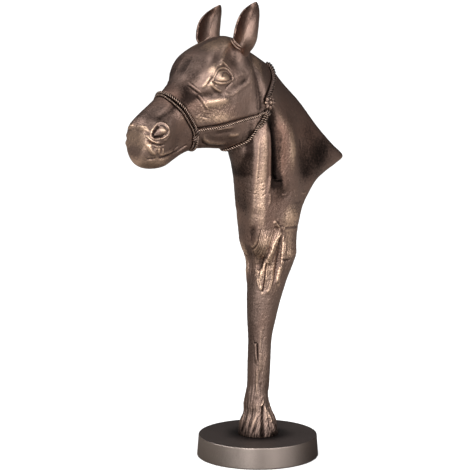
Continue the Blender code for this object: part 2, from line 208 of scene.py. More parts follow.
def addObject(name, data):
    made = bpy.data.objects.new(name, data)
    bpy.context.scene.collection.objects.link(made)
    return made


def addPiece(mesh, material, replaced="horse_figure"):
    piece = addObject(mesh.name, mesh)
    mesh.materials.append(material)
    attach(piece, "root")
    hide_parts(replaced)
    print("made", mesh.name, len(mesh.polygons), "faces")


# Sections of the cast figure: ventral point (y, z), dorsal point (y, z) in the plane of
# symmetry, and the half-widths where a circle's rim is turned 30, 60, 90, 120 and 150 degrees
body = {
    "sections": (
        # Head, from the lips to the poll
        ((-256, 501), (-256, 516), (4, 7, 8, 7, 4)),
        ((-256, 488), (-254.5, 530), (11, 18, 20, 16.5, 10)),
        ((-251, 478), (-251, 542.5), (14, 23, 28, 24.5, 14)),
        ((-239, 471.5), (-244.5, 552.5), (17, 27, 33, 30.5, 17)),
        ((-221, 469.5), (-232, 563.5), (17, 27, 35, 34.5, 19)),
        ((-201, 472), (-217, 576), (14, 24, 33, 34, 18)),
        ((-184, 480), (-199, 590), (12, 20, 30, 31, 18)),
        ((-163, 490), (-184, 601), (12, 21, 30, 33, 21)),
        ((-140, 496), (-169, 615), (14, 25, 34, 36.5, 25.5)),
        ((-118, 496.5), (-155.5, 632), (18, 31, 41, 45.5, 36)),
        ((-98, 495), (-140.5, 651.5), (20, 35, 45, 49, 41.5)),
        ((-82, 493.5), (-121.5, 664.5), (21, 37, 46, 47, 38)),
        ((-70, 492.5), (-99.5, 673), (22, 37, 46, 46, 34)),
        ((-61, 491), (-76, 678), (22, 36, 44, 43, 29)),
        # Throat and crest
        ((-57, 489), (-51, 671), (22, 34, 41, 39, 24)),
        ((-55, 485.5), (-27, 654.5), (22, 33, 38, 33, 17)),
        ((-54, 480), (-3.5, 641.5), (22, 33, 37, 32, 16)),
        ((-51, 471.5), (24, 624), (23, 33, 36, 30, 14)),
        ((-47.5, 461.5), (54, 595), (24, 34, 36, 28, 13)),
        ((-44.5, 450), (90, 563), (26, 35, 36, 26, 12)),
        ((-42, 438), (129, 521), (27, 35, 35, 24, 11.5)),
        ((-40, 426), (165, 488), (28, 35, 34, 21, 10.5)),
        ((-38.3, 418), (190.5, 466.5), (28.6, 35.6, 33, 19, 9)),
        # Broken underside of the neck, back to the stem
        ((-37.5, 414), (176, 455), (28.3, 35.3, 33, 21, 10)),
        ((-35.5, 406), (152, 444), (28, 35, 33, 23, 12)),
        ((-33.5, 396), (126, 431), (28, 34, 33, 27, 17)),
        ((-31, 384), (107, 411), (28, 34, 33, 28, 19)),
        ((-30, 368), (90, 388), (28, 33, 33, 28, 20)),
        ((-28, 348), (80, 362), (27, 32, 32, 28, 21)),
        ((-25, 330), (75, 338), (26, 31, 31, 28, 21)),
        ((-18.5, 318), (74, 320), (24, 29, 30, 28, 21)),
        ((-12, 306), (74, 306), (22, 27, 29, 27, 20)),
        ((-11, 290), (68, 290), (20, 26, 28, 26, 18)),
        ((-15, 264), (58, 264), (16, 23, 25, 22, 14)),
        # Stem and foot
        ((-18, 230), (45, 230), (13, 20, 22, 19, 12)),
        ((-18, 197), (34, 197), (11, 18, 20.5, 18, 11)),
        ((-16, 164), (25, 164), (10, 16.5, 19, 16.5, 10)),
        ((-17, 124), (22, 124), (10, 17, 19.5, 17, 10)),
        ((-18, 89), (20, 89), (9.5, 16, 18.5, 16, 9.5)),
        ((-21, 69), (15.5, 69), (9, 16, 18.3, 16, 9)),
        ((-22.5, 54), (17.5, 54), (10, 17.5, 20, 17.5, 10.5)),
        ((-23, 39), (23, 39), (11.8, 20.5, 23.5, 20.5, 11.8)),
        ((-28, 24), (29, 24), (15, 25, 29, 25, 15)),
        ((-32, 8), (33, 8), (17, 29, 33, 29, 17)),
        ((-33, 0), (34, 0), (17, 29.5, 34, 29.5, 17)),
    ),
    # Parts of the casting: their first and last section, points around each ring, and drawing
    # units between rings
    "head": {"first": 0, "last": 14, "around": 340, "spacing": 1.25},
    "neck": {"first": 14, "last": 31, "around": 330, "spacing": 1.9},
    "stem": {"first": 31, "last": 44, "around": 220, "spacing": 1.1},
    "overlap": 0.4,        # how far, in sections, a part runs on beneath its neighbour
    "overlapSink": 1.5,    # and how deep it dives there
    "fan": (18, 26.5),     # sections whose rings fan round the crest's tip
    "fanRounds": 330,      # how often they are evened out there
    "fanEnds": 2,          # sections over which that comes in
    "fanInner": (0.75, 0.4),   # share of the way up a ring where it ends, and over how much
    "angles": (30, 60, 90, 120, 150),
}

# Large forms of the carving: side (1 left, -1 right, 0 both), place, size and height
largeForms = {
    "swellings": (
        (0, (-145, 622), (17, 20), 2.2), (0, (-113, 611), (13, 8), 4), (0, (-86, 642), (17, 13), -4),
        (0, (-68, 650), (17, 15), 5), (0, (-134, 586), (22, 6), -2.2), (0, (-228, 536), (21, 16), 3),
        (0, (-95, 540), (46, 30), 3), (0, (-214, 479), (17, 8), 2), (0, (78, 470), (26, 44), -6),
        (0, (24, 412), (20, 14), -1.2), (1, (50, 372), (16, 14), 3), (1, (45, 309), (9, 9), 1.6),
        (-1, (40, 350), (15, 24), -3),
    ),
    # Ridges and grooves: side, path, half-width, height, share over which the ends fade
    "ridges": (
        (0, ((-156, 570), (-132, 575), (-92, 580)), 8, 2.6, 0.3),
        (0, ((-78, 672), (-96, 660), (-108, 649), (-116, 640), (-127, 630)), 6, 2.5, 0.3),
        (0, ((-15, 540), (-16, 490), (-19, 440), (-22, 382), (-21, 352)), 13, 2.5, 0.25),
        (0, ((-6, 562), (0, 540), (5, 517), (7, 489), (8, 461), (9, 437)), 9, -5.5, (0.3, 0.1)),
        (0, ((25, 560), (37, 524), (47, 493), (51, 467), (53, 445)), 15, 3.4, 0.35),
        (0, ((4, 427), (20, 427), (40, 426)), 8, 1.2, 0.35),
        (1, ((-4, 362), (-10, 346), (-13, 321), (-12, 300)), 10, 1.6, (0.35, 0.2)),
        (1, ((26, 353), (14, 340), (8, 323), (4, 306), (3, 290)), 4.6, 3.4, (0.12, 0.3)),
        (1, ((26, 346), (23.5, 320), (21, 298), (18, 272), (14, 254)), 4.8, -3.8, (0.2, 0.3)),
        (1, ((34, 344), (32, 318), (29, 296), (24, 276), (19, 256)), 4.5, 2.6, 0.25),
        (-1, ((10, 392), (-2, 350), (-10, 300), (-14, 250)), 9, 4, 0.25),
        (-1, ((30, 372), (18, 322), (10, 268), (8, 240)), 7, -5, 0.25),
        (-1, ((44, 388), (36, 330), (28, 276), (22, 236)), 9, 3, 0.25),
    ),
    "jawEdge": ((-50, 648), (-42, 628), (-36, 605), (-30, 575), (-29, 550), (-36, 522), (-50, 505),
                (-75, 494)),
    "jawRise": (4.5, 28),      # height and reach of the raised jowl
    "jawHollow": (7, 13),      # depth and reach of the hollow behind it
    "jawBlend": (-5, 4),       # from where behind the edge to where before it one becomes the other
    "jawEnds": 1 / 7,          # share of the edge over which its ends fade
}
seamWidth = 12             # distance from the plane of symmetry over which the carving fades
bundleAside = 8            # and within which no bundle is drawn
bundleDepth = (0.8, 0.25, 2.4)   # level and swing of its grooves, and radians from one to the next

# Fine carving, in the same terms
fineForms = {
    # Split wood, as fibres: first and last path, how many, half-width, height, fade of the ends
    "bundles": (
        (((-19, 360), (-22, 343), (-22, 326), (-18, 309), (-13, 295)),
         ((22, 358), (12, 342), (6, 327), (1, 313), (-2, 301)), 13, 0.8, -1.5, (0.08, 0.15)),
        (((-6, 309), (-9, 292), (-11, 278), (-12, 266), (-9, 252)),
         ((-2, 305), (-3.5, 292), (-4.5, 279), (-6, 264), (-8, 250)), 3, 0.7, -1.2, 0.15),
        (((2, 306), (1.5, 290), (0.5, 272), (-2, 256), (-5, 246)),
         ((11, 308), (12, 292), (11, 270), (7, 254), (2, 243)), 4, 0.7, -1.2, 0.15),
        (((22, 356), (14, 344), (10, 330), (8, 312)),
         ((32, 350), (23, 338), (19, 322), (15, 304)), 4, 0.7, -0.9, 0.15),
        (((27, 346), (26, 318), (24, 297), (20, 262)),
         ((34, 344), (32, 318), (30, 297), (27, 264)), 3, 0.8, -0.8, 0.2),
    ),
    "ridges": (
        # Mouth, with its folds
        (0, ((-230, 489), (-224, 489.5), (-216, 490.5), (-200, 493), (-181, 497), (-170, 502),
             (-160, 507)), 1.4, -2.6, (0.12, 0.15)),
        (0, ((-250, 488.5), (-243, 488), (-232, 489)), 1.6, -0.9, 0.35),
        (0, ((-228, 485), (-220, 485.5), (-210, 487), (-196, 490)), 2.4, 0.6, 0.35),
        (0, ((-232, 493.5), (-218, 494.5), (-203, 497), (-190, 500)), 2.2, 0.9, 0.3),
        (0, ((-181, 507), (-188, 502), (-193, 496)), 1.3, -0.8, 0.3),
        (0, ((-206, 505), (-202, 501), (-198, 504)), 1.3, -0.8, 0.3),
        # Lip, from the front fold down to the mouth
        (0, ((-252, 517), (-250, 510), (-246, 503), (-241, 498), (-234, 494)), 2.6, 2.2, 0.25),
        (0, ((-245, 513), (-241, 507), (-237, 502)), 2.6, -1.3, 0.3),
        (0, ((-231, 506), (-230, 500), (-229, 495)), 2.0, 1.5, 0.3),
        (0, ((-222, 505), (-221, 500), (-220, 495)), 1.4, 1.6, 0.3),
        (0, ((-226, 505), (-225.5, 500), (-225, 496)), 1.3, -0.9, 0.3),
        # Rounded forms in front of the nostril
        (0, ((-251, 542), (-250, 537), (-249, 532)), 2.8, 1.7, 0.35),
        (0, ((-246, 543), (-246, 538), (-247, 533)), 1.3, -0.9, 0.35),
        (0, ((-252, 531), (-249, 529), (-247, 526)), 2.2, -1.2, 0.35),
        # Folds round the nostril
        (0, ((-251.5, 519.5), (-250, 517.5), (-246, 514), (-238, 511), (-226, 510),
             (-217, 511)), 1.5, -2.3, (0.1, 0.3)),
        (0, ((-250, 528), (-249, 523), (-245, 518), (-239, 515), (-229, 513)), 1.4, 1.4, (0.15, 0.25)),
        (0, ((-247.5, 528), (-247, 522.5), (-242, 518.5), (-234, 517)), 0.9, -1.0, 0.2),
        (0, ((-212, 533), (-213, 526), (-219, 519), (-228, 517)), 2.4, 0.8, 0.3),
        (0, ((-240, 546), (-211, 559), (-199, 568), (-187, 579)), 3.6, -1.0, 0.3),
        (0, ((-236, 551), (-210, 566), (-192, 580)), 4.0, 0.6, 0.3),
        # Engraved double lines on the nose and below the eye
        (0, ((-168, 607), (-165, 602.5), (-161, 597.5), (-156, 592), (-152.5, 589)), 0.8, 1.1, 0.12),
        (0, ((-170, 603), (-166.5, 598.5), (-162.5, 594), (-158, 589)), 0.8, -1.1, 0.12),
        (0, ((-158, 587.5), (-153, 582), (-148, 575), (-144, 569), (-138, 562)), 0.8, 1.0, 0.12),
        (0, ((-161, 585), (-156, 579.5), (-151, 573), (-147, 567), (-142, 560)), 0.8, -1.0, 0.12),
        (0, ((-145, 552), (-138, 549), (-133, 551)), 0.9, -0.9, 0.25),
        # Tear duct, bags and creases round the eye
        (0, ((-135, 614.5), (-138, 612.5), (-141, 608.5), (-144, 602)), 1.5, -1.9, (0.1, 0.2)),
        (0, ((-139, 617), (-144, 611.5), (-148, 604), (-154, 596)), 2.2, 1.3, 0.25),
        (0, ((-138, 609), (-135, 607.5), (-132, 605), (-128.5, 601)), 1.3, -1.6, 0.15),
        (0, ((-142, 606), (-138, 603), (-133, 599), (-126, 594.5), (-121, 592),
             (-114, 591.5)), 1.7, 1.3, 0.2),
        (0, ((-140, 599), (-131, 592), (-120, 587), (-110, 586)), 2.4, -0.9, 0.25),
        (0, ((-94, 607), (-98, 604), (-103, 600), (-110, 595)), 1.1, -1.5, 0.15),
        (0, ((-90, 612), (-78, 616), (-64, 620)), 2.6, 0.5, 0.3),
        (0, ((-52, 616), (-66, 607), (-82, 599), (-102, 591)), 4.6, -0.8, 0.3),
        (0, ((-112, 589), (-104, 586), (-96, 584.5), (-86, 586)), 1.6, 0.7, 0.25),
        (0, ((-50, 608), (-68, 598), (-84, 590), (-98, 585)), 3.4, 0.6, 0.3),
        (0, ((-112.5, 638.5), (-108, 635), (-102, 630.5)), 0.8, 1.5, (0.05, 0.2)),
        (0, ((-114, 636), (-109, 632.5), (-104, 628.5)), 1.0, -1.0, 0.2),
        (0, ((-120.5, 632.5), (-117, 635.5), (-112.5, 638.5)), 1.2, 0.5, (0.3, 0.1)),
        # Lines across the jowl, and its lower rim above the underside
        (0, ((-120, 528), (-100, 531.5), (-80, 532.5)), 1.4, 0.9, 0.3),
        (0, ((-122, 523), (-98, 524), (-78, 527)), 3.5, -0.9, 0.3),
        (0, ((-92, 519), (-76, 518), (-66, 521)), 3.2, 1.2, 0.35),
        (0, ((-138, 522), (-131, 512), (-120, 507.5), (-100, 505), (-78, 504)), 2.8, 1.5, (0.2, 0.3)),
        (0, ((-140, 518), (-131, 507), (-118, 502), (-98, 500), (-78, 499)), 2.6, -1.5, (0.2, 0.3)),
        # Neck: corner of its flat front, the column's far edge and the narrow groove to the ledge
        (0, ((-25, 520), (-27, 497), (-27.5, 474), (-28.5, 441), (-28.5, 408), (-28, 366),
             (-26, 345)), 2.2, 0.9, 0.15),
        (0, ((-6, 530), (-4, 505), (-3, 472), (-2, 444), (-6, 420), (-11, 405)), 2.6, 1.3, (0.15, 0.25)),
        (0, ((1, 542), (5, 517), (8, 489), (10, 461), (10, 437)), 3.0, -2.2, (0.25, 0.05)),
        (0, ((2, 437.5), (14, 436.5), (28, 436)), 1.2, -1.3, (0.25, 0.3)),
        (0, ((68, 508), (73, 496), (73, 482)), 2.0, -0.6, 0.35),
        (0, ((-4, 420), (-2, 405), (-6, 392)), 2.4, 1.0, 0.3),
        (0, ((23, 412.5), (31, 411), (38, 412.5)), 1.8, 0.7, 0.3),
        (0, ((70, 411), (78, 409), (88, 411)), 1.8, 0.8, 0.3),
        (0, ((52, 398), (66, 394), (78, 396)), 2.4, -0.6, 0.3),
        # Split wood: the tongue, its shadow, the two prongs with their slit, the long splinter
        (1, ((-26.5, 366), (-26.5, 346), (-25, 325), (-18, 306), (-16, 293), (-15, 283)), 2.2, -1.8, 0.15),
        (1, ((-11, 283), (-8.5, 294), (-5, 303), (-2, 309)), 3.2, -3.6, 0.2),
        (1, ((-2, 311), (-5, 296), (-7, 282), (-10.5, 268), (-10, 260), (-7, 249)), 2.2, 1.5, 0.12),
        (1, ((-1, 299), (-2, 290), (-2.5, 279), (-3.5, 262), (-6, 247)), 1.4, -3.6, (0.15, 0.08)),
        (1, ((8, 306), (10, 291), (9.5, 268), (5.5, 253), (0, 243)), 2.4, 1.4, (0.2, 0.12)),
        (1, ((20, 348), (12, 338), (6, 328), (3, 314), (-2, 301)), 1.2, 1.1, (0.12, 0.2)),
        (1, ((27, 351), (17, 343), (12, 327), (9.5, 308)), 1.2, 1.0, (0.12, 0.2)),
        (1, ((30, 344), (28.5, 318), (27, 297), (25.5, 288)), 1.4, 1.3, 0.15),
        (1, ((25.5, 291), (23, 281), (21, 268), (18.5, 257)), 1.9, 2.0, (0.1, 0.3)),
        (1, ((26, 301.5), (34, 299.5), (48, 298)), 1.5, -1.5, 0.2),
        (1, ((12, 366), (16, 365.5), (22, 361)), 1.4, -2.0, 0.2),
        (1, ((4, 364), (10, 367.5), (17, 362), (23, 356)), 1.8, 1.2, 0.25),
        (1, ((8, 358), (13, 357.5), (20, 353.5)), 1.3, -1.8, 0.2),
        (1, ((19, 361), (25, 358), (30, 360)), 1.2, -1.2, 0.25),
        (1, ((32, 354.5), (42, 354), (56, 354), (70, 353.5)), 1.1, -1.5, 0.15),
        (-1, ((22, 360), (12, 318), (8, 280), (2, 250)), 1.8, -4, 0.2),
        (-1, ((-4, 352), (-10, 318), (-12, 282)), 1.6, -3, 0.2),
        (-1, ((10, 350), (2, 310), (-3, 270)), 1.8, 1.8, 0.2),
        (-1, ((40, 360), (31, 322), (24, 280)), 1.8, 1.6, 0.2),
    ),
}

# Carving of the stem and foot, set out by angle round from the nose towards the left side, in
# degrees, and height
stemForms = {
    "ridges": (
        (((66, 196), (64, 160), (60, 128), (57, 98)), 3.8, 1.2, 0.3),
        (((33, 159), (38, 142), (46, 122)), 2.0, 1.3, (0.04, 0.35)),
        (((46, 160), (48, 144), (51, 122)), 1.4, -1.8, (0.04, 0.4)),
        (((24, 160), (36, 160.5), (48, 160)), 0.9, -0.9, 0.2),
        (((47, 120), (46, 96), (47, 60)), 2.4, 1.2, 0.3),
        (((64, 94), (66, 80), (68, 64)), 2.4, -1.1, 0.3),
        (((86, 63), (77, 58), (62, 50)), 1.5, 1.4, 0.25),
        (((79, 58), (72, 40), (67, 24), (62, -2)), 2.6, -3.8, (0.2, 0.1)),
        (((84, 52), (98, 38), (108, 24), (109, 2)), 4.2, 1.5, (0.3, 0.2)),
        (((92, 44), (94, 26), (88, 8)), 1.3, -1.0, 0.25),
        (((30, 50), (22, 32), (16, 10)), 1.5, -1.4, 0.25),
        (((54, 38), (43, 22), (32, 4)), 1.4, -1.6, 0.25),
        (((50, 60), (44, 40), (34, 22), (26, 2)), 2.6, 0.8, 0.25),
        (((14, 60), (8, 34), (4, 4)), 2.6, 0.7, 0.3),
        (((2, 66), (-6, 40), (-10, 4)), 2.2, -1.8, (0.35, 0.1)),
        (((124, 66), (130, 44), (134, 4)), 3.0, -3.5, (0.35, 0.1)),
        (((140, 96), (146, 50), (150, 6)), 4.5, 2.0, (0.4, 0.2)),
        (((178, 62), (176, 36), (172, 4)), 3.0, -4.0, (0.35, 0.1)),
        (((206, 84), (208, 44), (212, 6)), 4.5, 2.0, (0.4, 0.2)),
        (((236, 66), (242, 36), (246, 4)), 3.0, -4.5, (0.35, 0.1)),
        (((270, 92), (272, 48), (276, 6)), 4.5, 2.2, (0.4, 0.2)),
        (((306, 62), (304, 38), (300, 4)), 3.0, -4.5, (0.35, 0.1)),
        (((326, 90), (330, 50), (332, 6)), 4.5, 2.0, (0.4, 0.2)),
        (((262, 170), (266, 140), (262, 112)), 1.6, -1.6, 0.3),
    ),
    "fade": (205, 180),    # heights over which the carving comes in, downwards
    "degree": 0.36,        # drawing units taken for one degree
}


# Height of a stroke: its rise times the bell curve across its path, faded by the smooth step over
# the given share at each end
def strokeHeight(across, upward, path, width, rise, ends):
    first, last = ends if isinstance(ends, tuple) else (ends, ends)
    away, _, share = pathDistance(across, upward, path)
    return rise * bell(away, width) * smoothStep(share, 0, first) * smoothStep(1 - share, 0, last)


# Share of a form that shows at a distance from the plane of symmetry, where the carving fades
def offSeam(x):
    return np.clip(np.abs(x) / seamWidth, 0, 1) ** 2


# Height of the carving: swellings, as a bell curve across and another upwards, and strokes
def carvedHeight(points, forms):
    x, y, z = np.moveaxis(points, -1, 0)
    onSide = {0: offSeam(x), 1: offSeam(x) * (x > 0), -1: offSeam(x) * (x < 0)}
    height = np.zeros(x.shape)
    for side, (cy, cz), (ry, rz), rise in forms.get("swellings", ()):
        height += rise * bell(y - cy, ry) * bell(z - cz, rz) * onSide[side]
    for side, path, width, rise, ends in forms["ridges"]:
        height += strokeHeight(y, z, path, width, rise, ends) * onSide[side]
    return height


# Bundles of fine grooves between a first and a last guide path, each a little different in depth
def bundleHeight(points, bundles):
    x, y, z = np.moveaxis(points, -1, 0)
    height = np.zeros(x.shape)
    level, swing, step = bundleDepth
    for first, last, count, width, rise, ends in bundles:
        for k in range(count):
            share = (k + 0.5) / count
            path = (1 - share) * np.array(first, float) + share * np.array(last, float)
            height += strokeHeight(y, z, path, width, rise * (level + swing * math.cos(step * k)), ends)
    return height * (x > bundleAside)


# Strokes set out by angle: each is drawn in the turn of the cylinder that it lies on
def stemHeight(points, forms):
    x, y, z = np.moveaxis(points, -1, 0)
    turn = np.degrees(np.arctan2(x, -y))
    height = np.zeros(x.shape)
    for path, width, rise, ends in forms["ridges"]:
        middle = np.mean([angle for angle, _ in path])
        across = (np.mod(turn - middle + 180, 360) - 180) * forms["degree"]
        shifted = [((angle - middle) * forms["degree"], level) for angle, level in path]
        height += strokeHeight(across, z, shifted, width, rise, ends)
    return height * smoothStep(z, *forms["fade"])


# The jowl stands proud up to its edge, and the neck behind it is hollowed, each falling off as a
# bell curve with distance from the edge
def jawHeight(points, forms):
    x, y, z = np.moveaxis(points, -1, 0)
    away, side, share = pathDistance(y, z, forms["jawEdge"])
    raised, hollow = (rise * bell(away, reach) for rise, reach in (forms["jawRise"], forms["jawHollow"]))
    blend = smoothStep(-side * away, *forms["jawBlend"])
    fade = smoothStep(np.minimum(share, 1 - share), 0, forms["jawEnds"]) * offSeam(x)
    return fade * (raised * blend - hollow * (1 - blend))


eye = {
    "centre": (-114.3, 611.3),
    "tilt": -1.5,                 # degrees, front corner down
    "halfLength": 20.5,
    "upperLid": (15.0, 2.8),      # height, and power of its curve
    "lowerLid": (4.8, 2.4),
    "furthest": 1.35,             # share of the half-length at which those curves stop
    "ball": (-114.5, 614.5),
    "ballRadius": 17.0,
    "ballRise": 4.8,
    "ballForm": (0.8, 0.04, 0.62),    # its roundness, the least under the root, and its lowering
    "iris": (-110.5, 612.5),
    "irisRadius": 8.6,
    "irisLine": (1.3, 0.9),       # its half-width and depth
    "irisSeen": (611, 617),       # and the heights between which it comes out
    # Lines round the opening: distance outside it, half-width and rise
    "lid": (2.3, 1.8, 1.3),
    "seam": (-0.2, 0.7, -1.1),
    "crease": (5.4, 1.2, -0.5),
    "fold": (8.0, 2.2, 0.3),
    "above": (-1, 3),             # heights between which crease and fold come in
    "edge": 1.4,                  # how far within the opening the ball is fully there
    "corners": (1.3, 0.3),        # shares of the half-length where the lines end, and their fade
    "reach": (14, 9),             # how far outside the opening all this ends, and starts to fade
    "aside": 20,                  # how far from the plane of symmetry all this is drawn
}


# Relief of an eye: the opening is an almond between two curves, where a ball shows, the root of
# one minus the squared distance. A lid runs round it, with a crease and a soft fold above
def eyeHeight(points, made):
    x, y, z = np.moveaxis(points, -1, 0)
    tilt = math.radians(made["tilt"])
    dy, dz = y - made["centre"][0], z - made["centre"][1]
    u, v = dy * math.cos(tilt) - dz * math.sin(tilt), dy * math.sin(tilt) + dz * math.cos(tilt)
    along = np.clip(np.abs(u) / made["halfLength"], 0, made["furthest"])
    upper, lower = (height * (1 - along**power) for height, power in (made["upperLid"], made["lowerLid"]))
    outside = np.maximum(v - upper, -lower - v)
    reach = np.hypot(y - made["ball"][0], z - made["ball"][1]) / made["ballRadius"]
    roundness, least, lowering = made["ballForm"]
    ball = made["ballRise"] * (np.sqrt(np.clip(1 - roundness * reach**2, least, 1)) - lowering)
    ring = np.hypot(y - made["iris"][0], z - made["iris"][1]) - made["irisRadius"]
    irisWidth, irisDepth = made["irisLine"]
    ball -= irisDepth * bell(ring, irisWidth) * smoothStep(z, *made["irisSeen"])
    lines = {label: made[label][2] * bell(outside - made[label][0], made[label][1])
             for label in ("lid", "seam", "crease", "fold")}
    last, fade = made["corners"]
    height = lines["lid"] + (lines["crease"] + lines["fold"]) * smoothStep(v, *made["above"])
    height = height * smoothStep(last - along, 0, fade)
    height += lines["seam"] * smoothStep(last - fade / 2 - along, 0, fade / 2)
    height += ball * smoothStep(-outside, 0, made["edge"])
    return height * smoothStep(outside, *made["reach"]) * (np.abs(x) > made["aside"])


# Nostril: its rim as points (y, z) round its middle
nostril = {
    "centre": (-231, 533),
    "rim": ((-246.5, 523.5), (-244.5, 530), (-241, 536), (-236, 541), (-228, 545.5), (-222, 543),
            (-218, 538), (-215.5, 532), (-217.5, 526.5), (-224, 523), (-233, 521), (-242, 520.5)),
    "rimRise": 1.2,
    "rimWidth": 1.0,
    "depth": 2.4,
    "slope": (0.5, 5),         # how far within the rim the inside starts to sink, and is deepest
    "fold": (-226.5, 533.5),   # the rounded fold that fills its rear
    "foldRise": 4.4,
    "foldSize": 7.5,
    "foldReach": 1.02,         # share of the rim's distance within which it is drawn
    "slits": (((-245, 525), (-241.5, 531), (-237.5, 536.5), (-232, 541)),
              ((-244, 523.5), (-238, 523), (-231, 523.5), (-224.5, 526))),
    "slitWidth": 1.7,
    "slitDepth": 2.2,
    "slitEnds": 0.15,          # share of a slit over which its ends fade
    "aside": 14,               # how far from the plane of symmetry all this is drawn
}


# Relief of a nostril: the rim's distance from the middle is read off by angle. A ridge follows
# it, the inside sinks, a rounded fold rises again and a slit runs round the fold's front
def nostrilHeight(points, made):
    x, y, z = np.moveaxis(points, -1, 0)
    rim = np.array(made["rim"]) - made["centre"]
    rimTurn = np.arctan2(rim[:, 1], rim[:, 0])
    dy, dz = y - made["centre"][0], z - made["centre"][1]
    reach = np.hypot(dy, dz)
    edge = np.interp(np.arctan2(dz, dy), rimTurn, np.hypot(rim[:, 0], rim[:, 1]), period=2 * math.pi)
    height = made["rimRise"] * bell(reach - edge, made["rimWidth"])
    height -= made["depth"] * smoothStep(edge - reach, *made["slope"])
    fold = bell(np.hypot(y - made["fold"][0], z - made["fold"][1]), made["foldSize"])
    height += made["foldRise"] * fold * (reach < edge * made["foldReach"])
    for slit in made["slits"]:
        stroke = strokeHeight(y, z, slit, made["slitWidth"], -made["slitDepth"], made["slitEnds"])
        height += stroke * (reach < edge)
    return height * (np.abs(x) > made["aside"])


# Rows smoothed along a path: each becomes a quarter of its neighbours and half of itself
def smoothed(rows, times, closed):
    for _ in range(times):
        if closed:
            rows = (np.roll(rows, 1, axis=0) + 2 * rows + np.roll(rows, -1, axis=0)) / 4
        else:
            rows = np.concatenate([rows[:1], (rows[:-2] + 2 * rows[1:-1] + rows[2:]) / 4, rows[-1:]])
    return rows


# Rings of one part of the casting, and how deep each dives beneath the neighbouring part. Each
# half-width is a five-term sine series through the section's five values, and the rim's (y, z)
# runs from ventral to dorsal as (1 - cos) / 2. Away from the crest's tip the fanned rings are
# evened out, so that none leaves a crease
def bodyRings(made, part):
    table = np.array([[*ventral, *dorsal, *widths] for ventral, dorsal, widths in made["sections"]], float)
    numbers = np.arange(len(table))
    lengths = [np.linalg.norm(np.diff(table[:, k:k + 2], axis=0), axis=1) for k in (0, 2)]
    passed = np.concatenate([[0], np.cumsum(np.maximum(*lengths))])
    reach = (part["first"] - made["overlap"], part["last"] + made["overlap"])
    low, high = np.interp(reach, numbers, passed)
    places = np.interp(np.linspace(low, high, int((high - low) / part["spacing"])), passed, numbers)
    rows = spline(table, places)
    harmonics = np.arange(1, 6)
    given = np.sin(np.outer(np.radians(made["angles"]), harmonics))
    series = np.linalg.solve(given, rows[:, 4:].T).T
    turn = turnsRound(part["around"])
    share = (1 - np.cos(turn)) / 2
    y, z = (rows[:, [k]] + (rows[:, [k + 2]] - rows[:, [k]]) * share for k in (0, 1))
    points = np.stack([series @ np.sin(np.outer(harmonics, turn)), y, z], axis=-1)
    beyond = np.maximum(part["first"] - places, places - part["last"])
    sink = np.clip(beyond / made["overlap"], 0, 1) * made["overlapSink"]
    first, last = made["fan"]
    fan = np.clip(np.minimum(places - first, last - places) / made["fanEnds"], 0, 1)[:, None, None]
    edge, width = made["fanInner"]
    inner = np.clip((edge - share) / width, 0, 1)[:, None]
    return points + fan * inner * (smoothed(points, made["fanRounds"], False) - points), sink


# Surface of the metal: size or spacing in drawing units, depth or height, and seed
texture = {
    "dimples": (2.5, 1.0, 5),        # hammered dents, where the mask says
    "pits": (8.0, 0.8, 21),          # sparse round pits
    "pitEdge": (0.12, 0.24),         # their floor and rim, in spacings
    "grain": (2.0, 0.12, 41),
    "hammeredGrain": 0.25,           # how much higher it is where the metal is hammered
    "unevenness": (4.5, 0.12, 43),
    "fibres": (26.0, 2.6, 0.5, 61),  # split wood's grain: length, width, height and seed
    "fibreSlant": 0.25,
    "fibreFlatness": 2.2,            # how much narrower it is across the figure
}


# Casting texture: hammered dimples and pits by the distance from scattered dots, a fine grain,
# and split wood's grain, which is noise stretched along a slanting fibre
def castTexture(points, hammered, pitted, wood):
    size, depth, seed = texture["dimples"]
    height = depth * (dotDistance(points, size, seed) - 0.5) * hammered
    spacing, depth, seed = texture["pits"]
    floor, rim = texture["pitEdge"]
    height -= depth * smoothStep(rim - dotDistance(points, spacing, seed), 0, rim - floor) * pitted
    size, rise, seed = texture["grain"]
    height += (rise + texture["hammeredGrain"] * hammered) * noise(points, size, seed)
    size, rise, seed = texture["unevenness"]
    height += rise * noise(points, size, seed)
    x, y, z = np.moveaxis(points, -1, 0)
    length, width, rise, seed = texture["fibres"]
    fibre = np.stack([x / width * texture["fibreFlatness"], (y - texture["fibreSlant"] * z) / width,
                      z / length], axis=-1)
    return height + rise * wood * layeredNoise(fibre, 1.0, seed, 2)


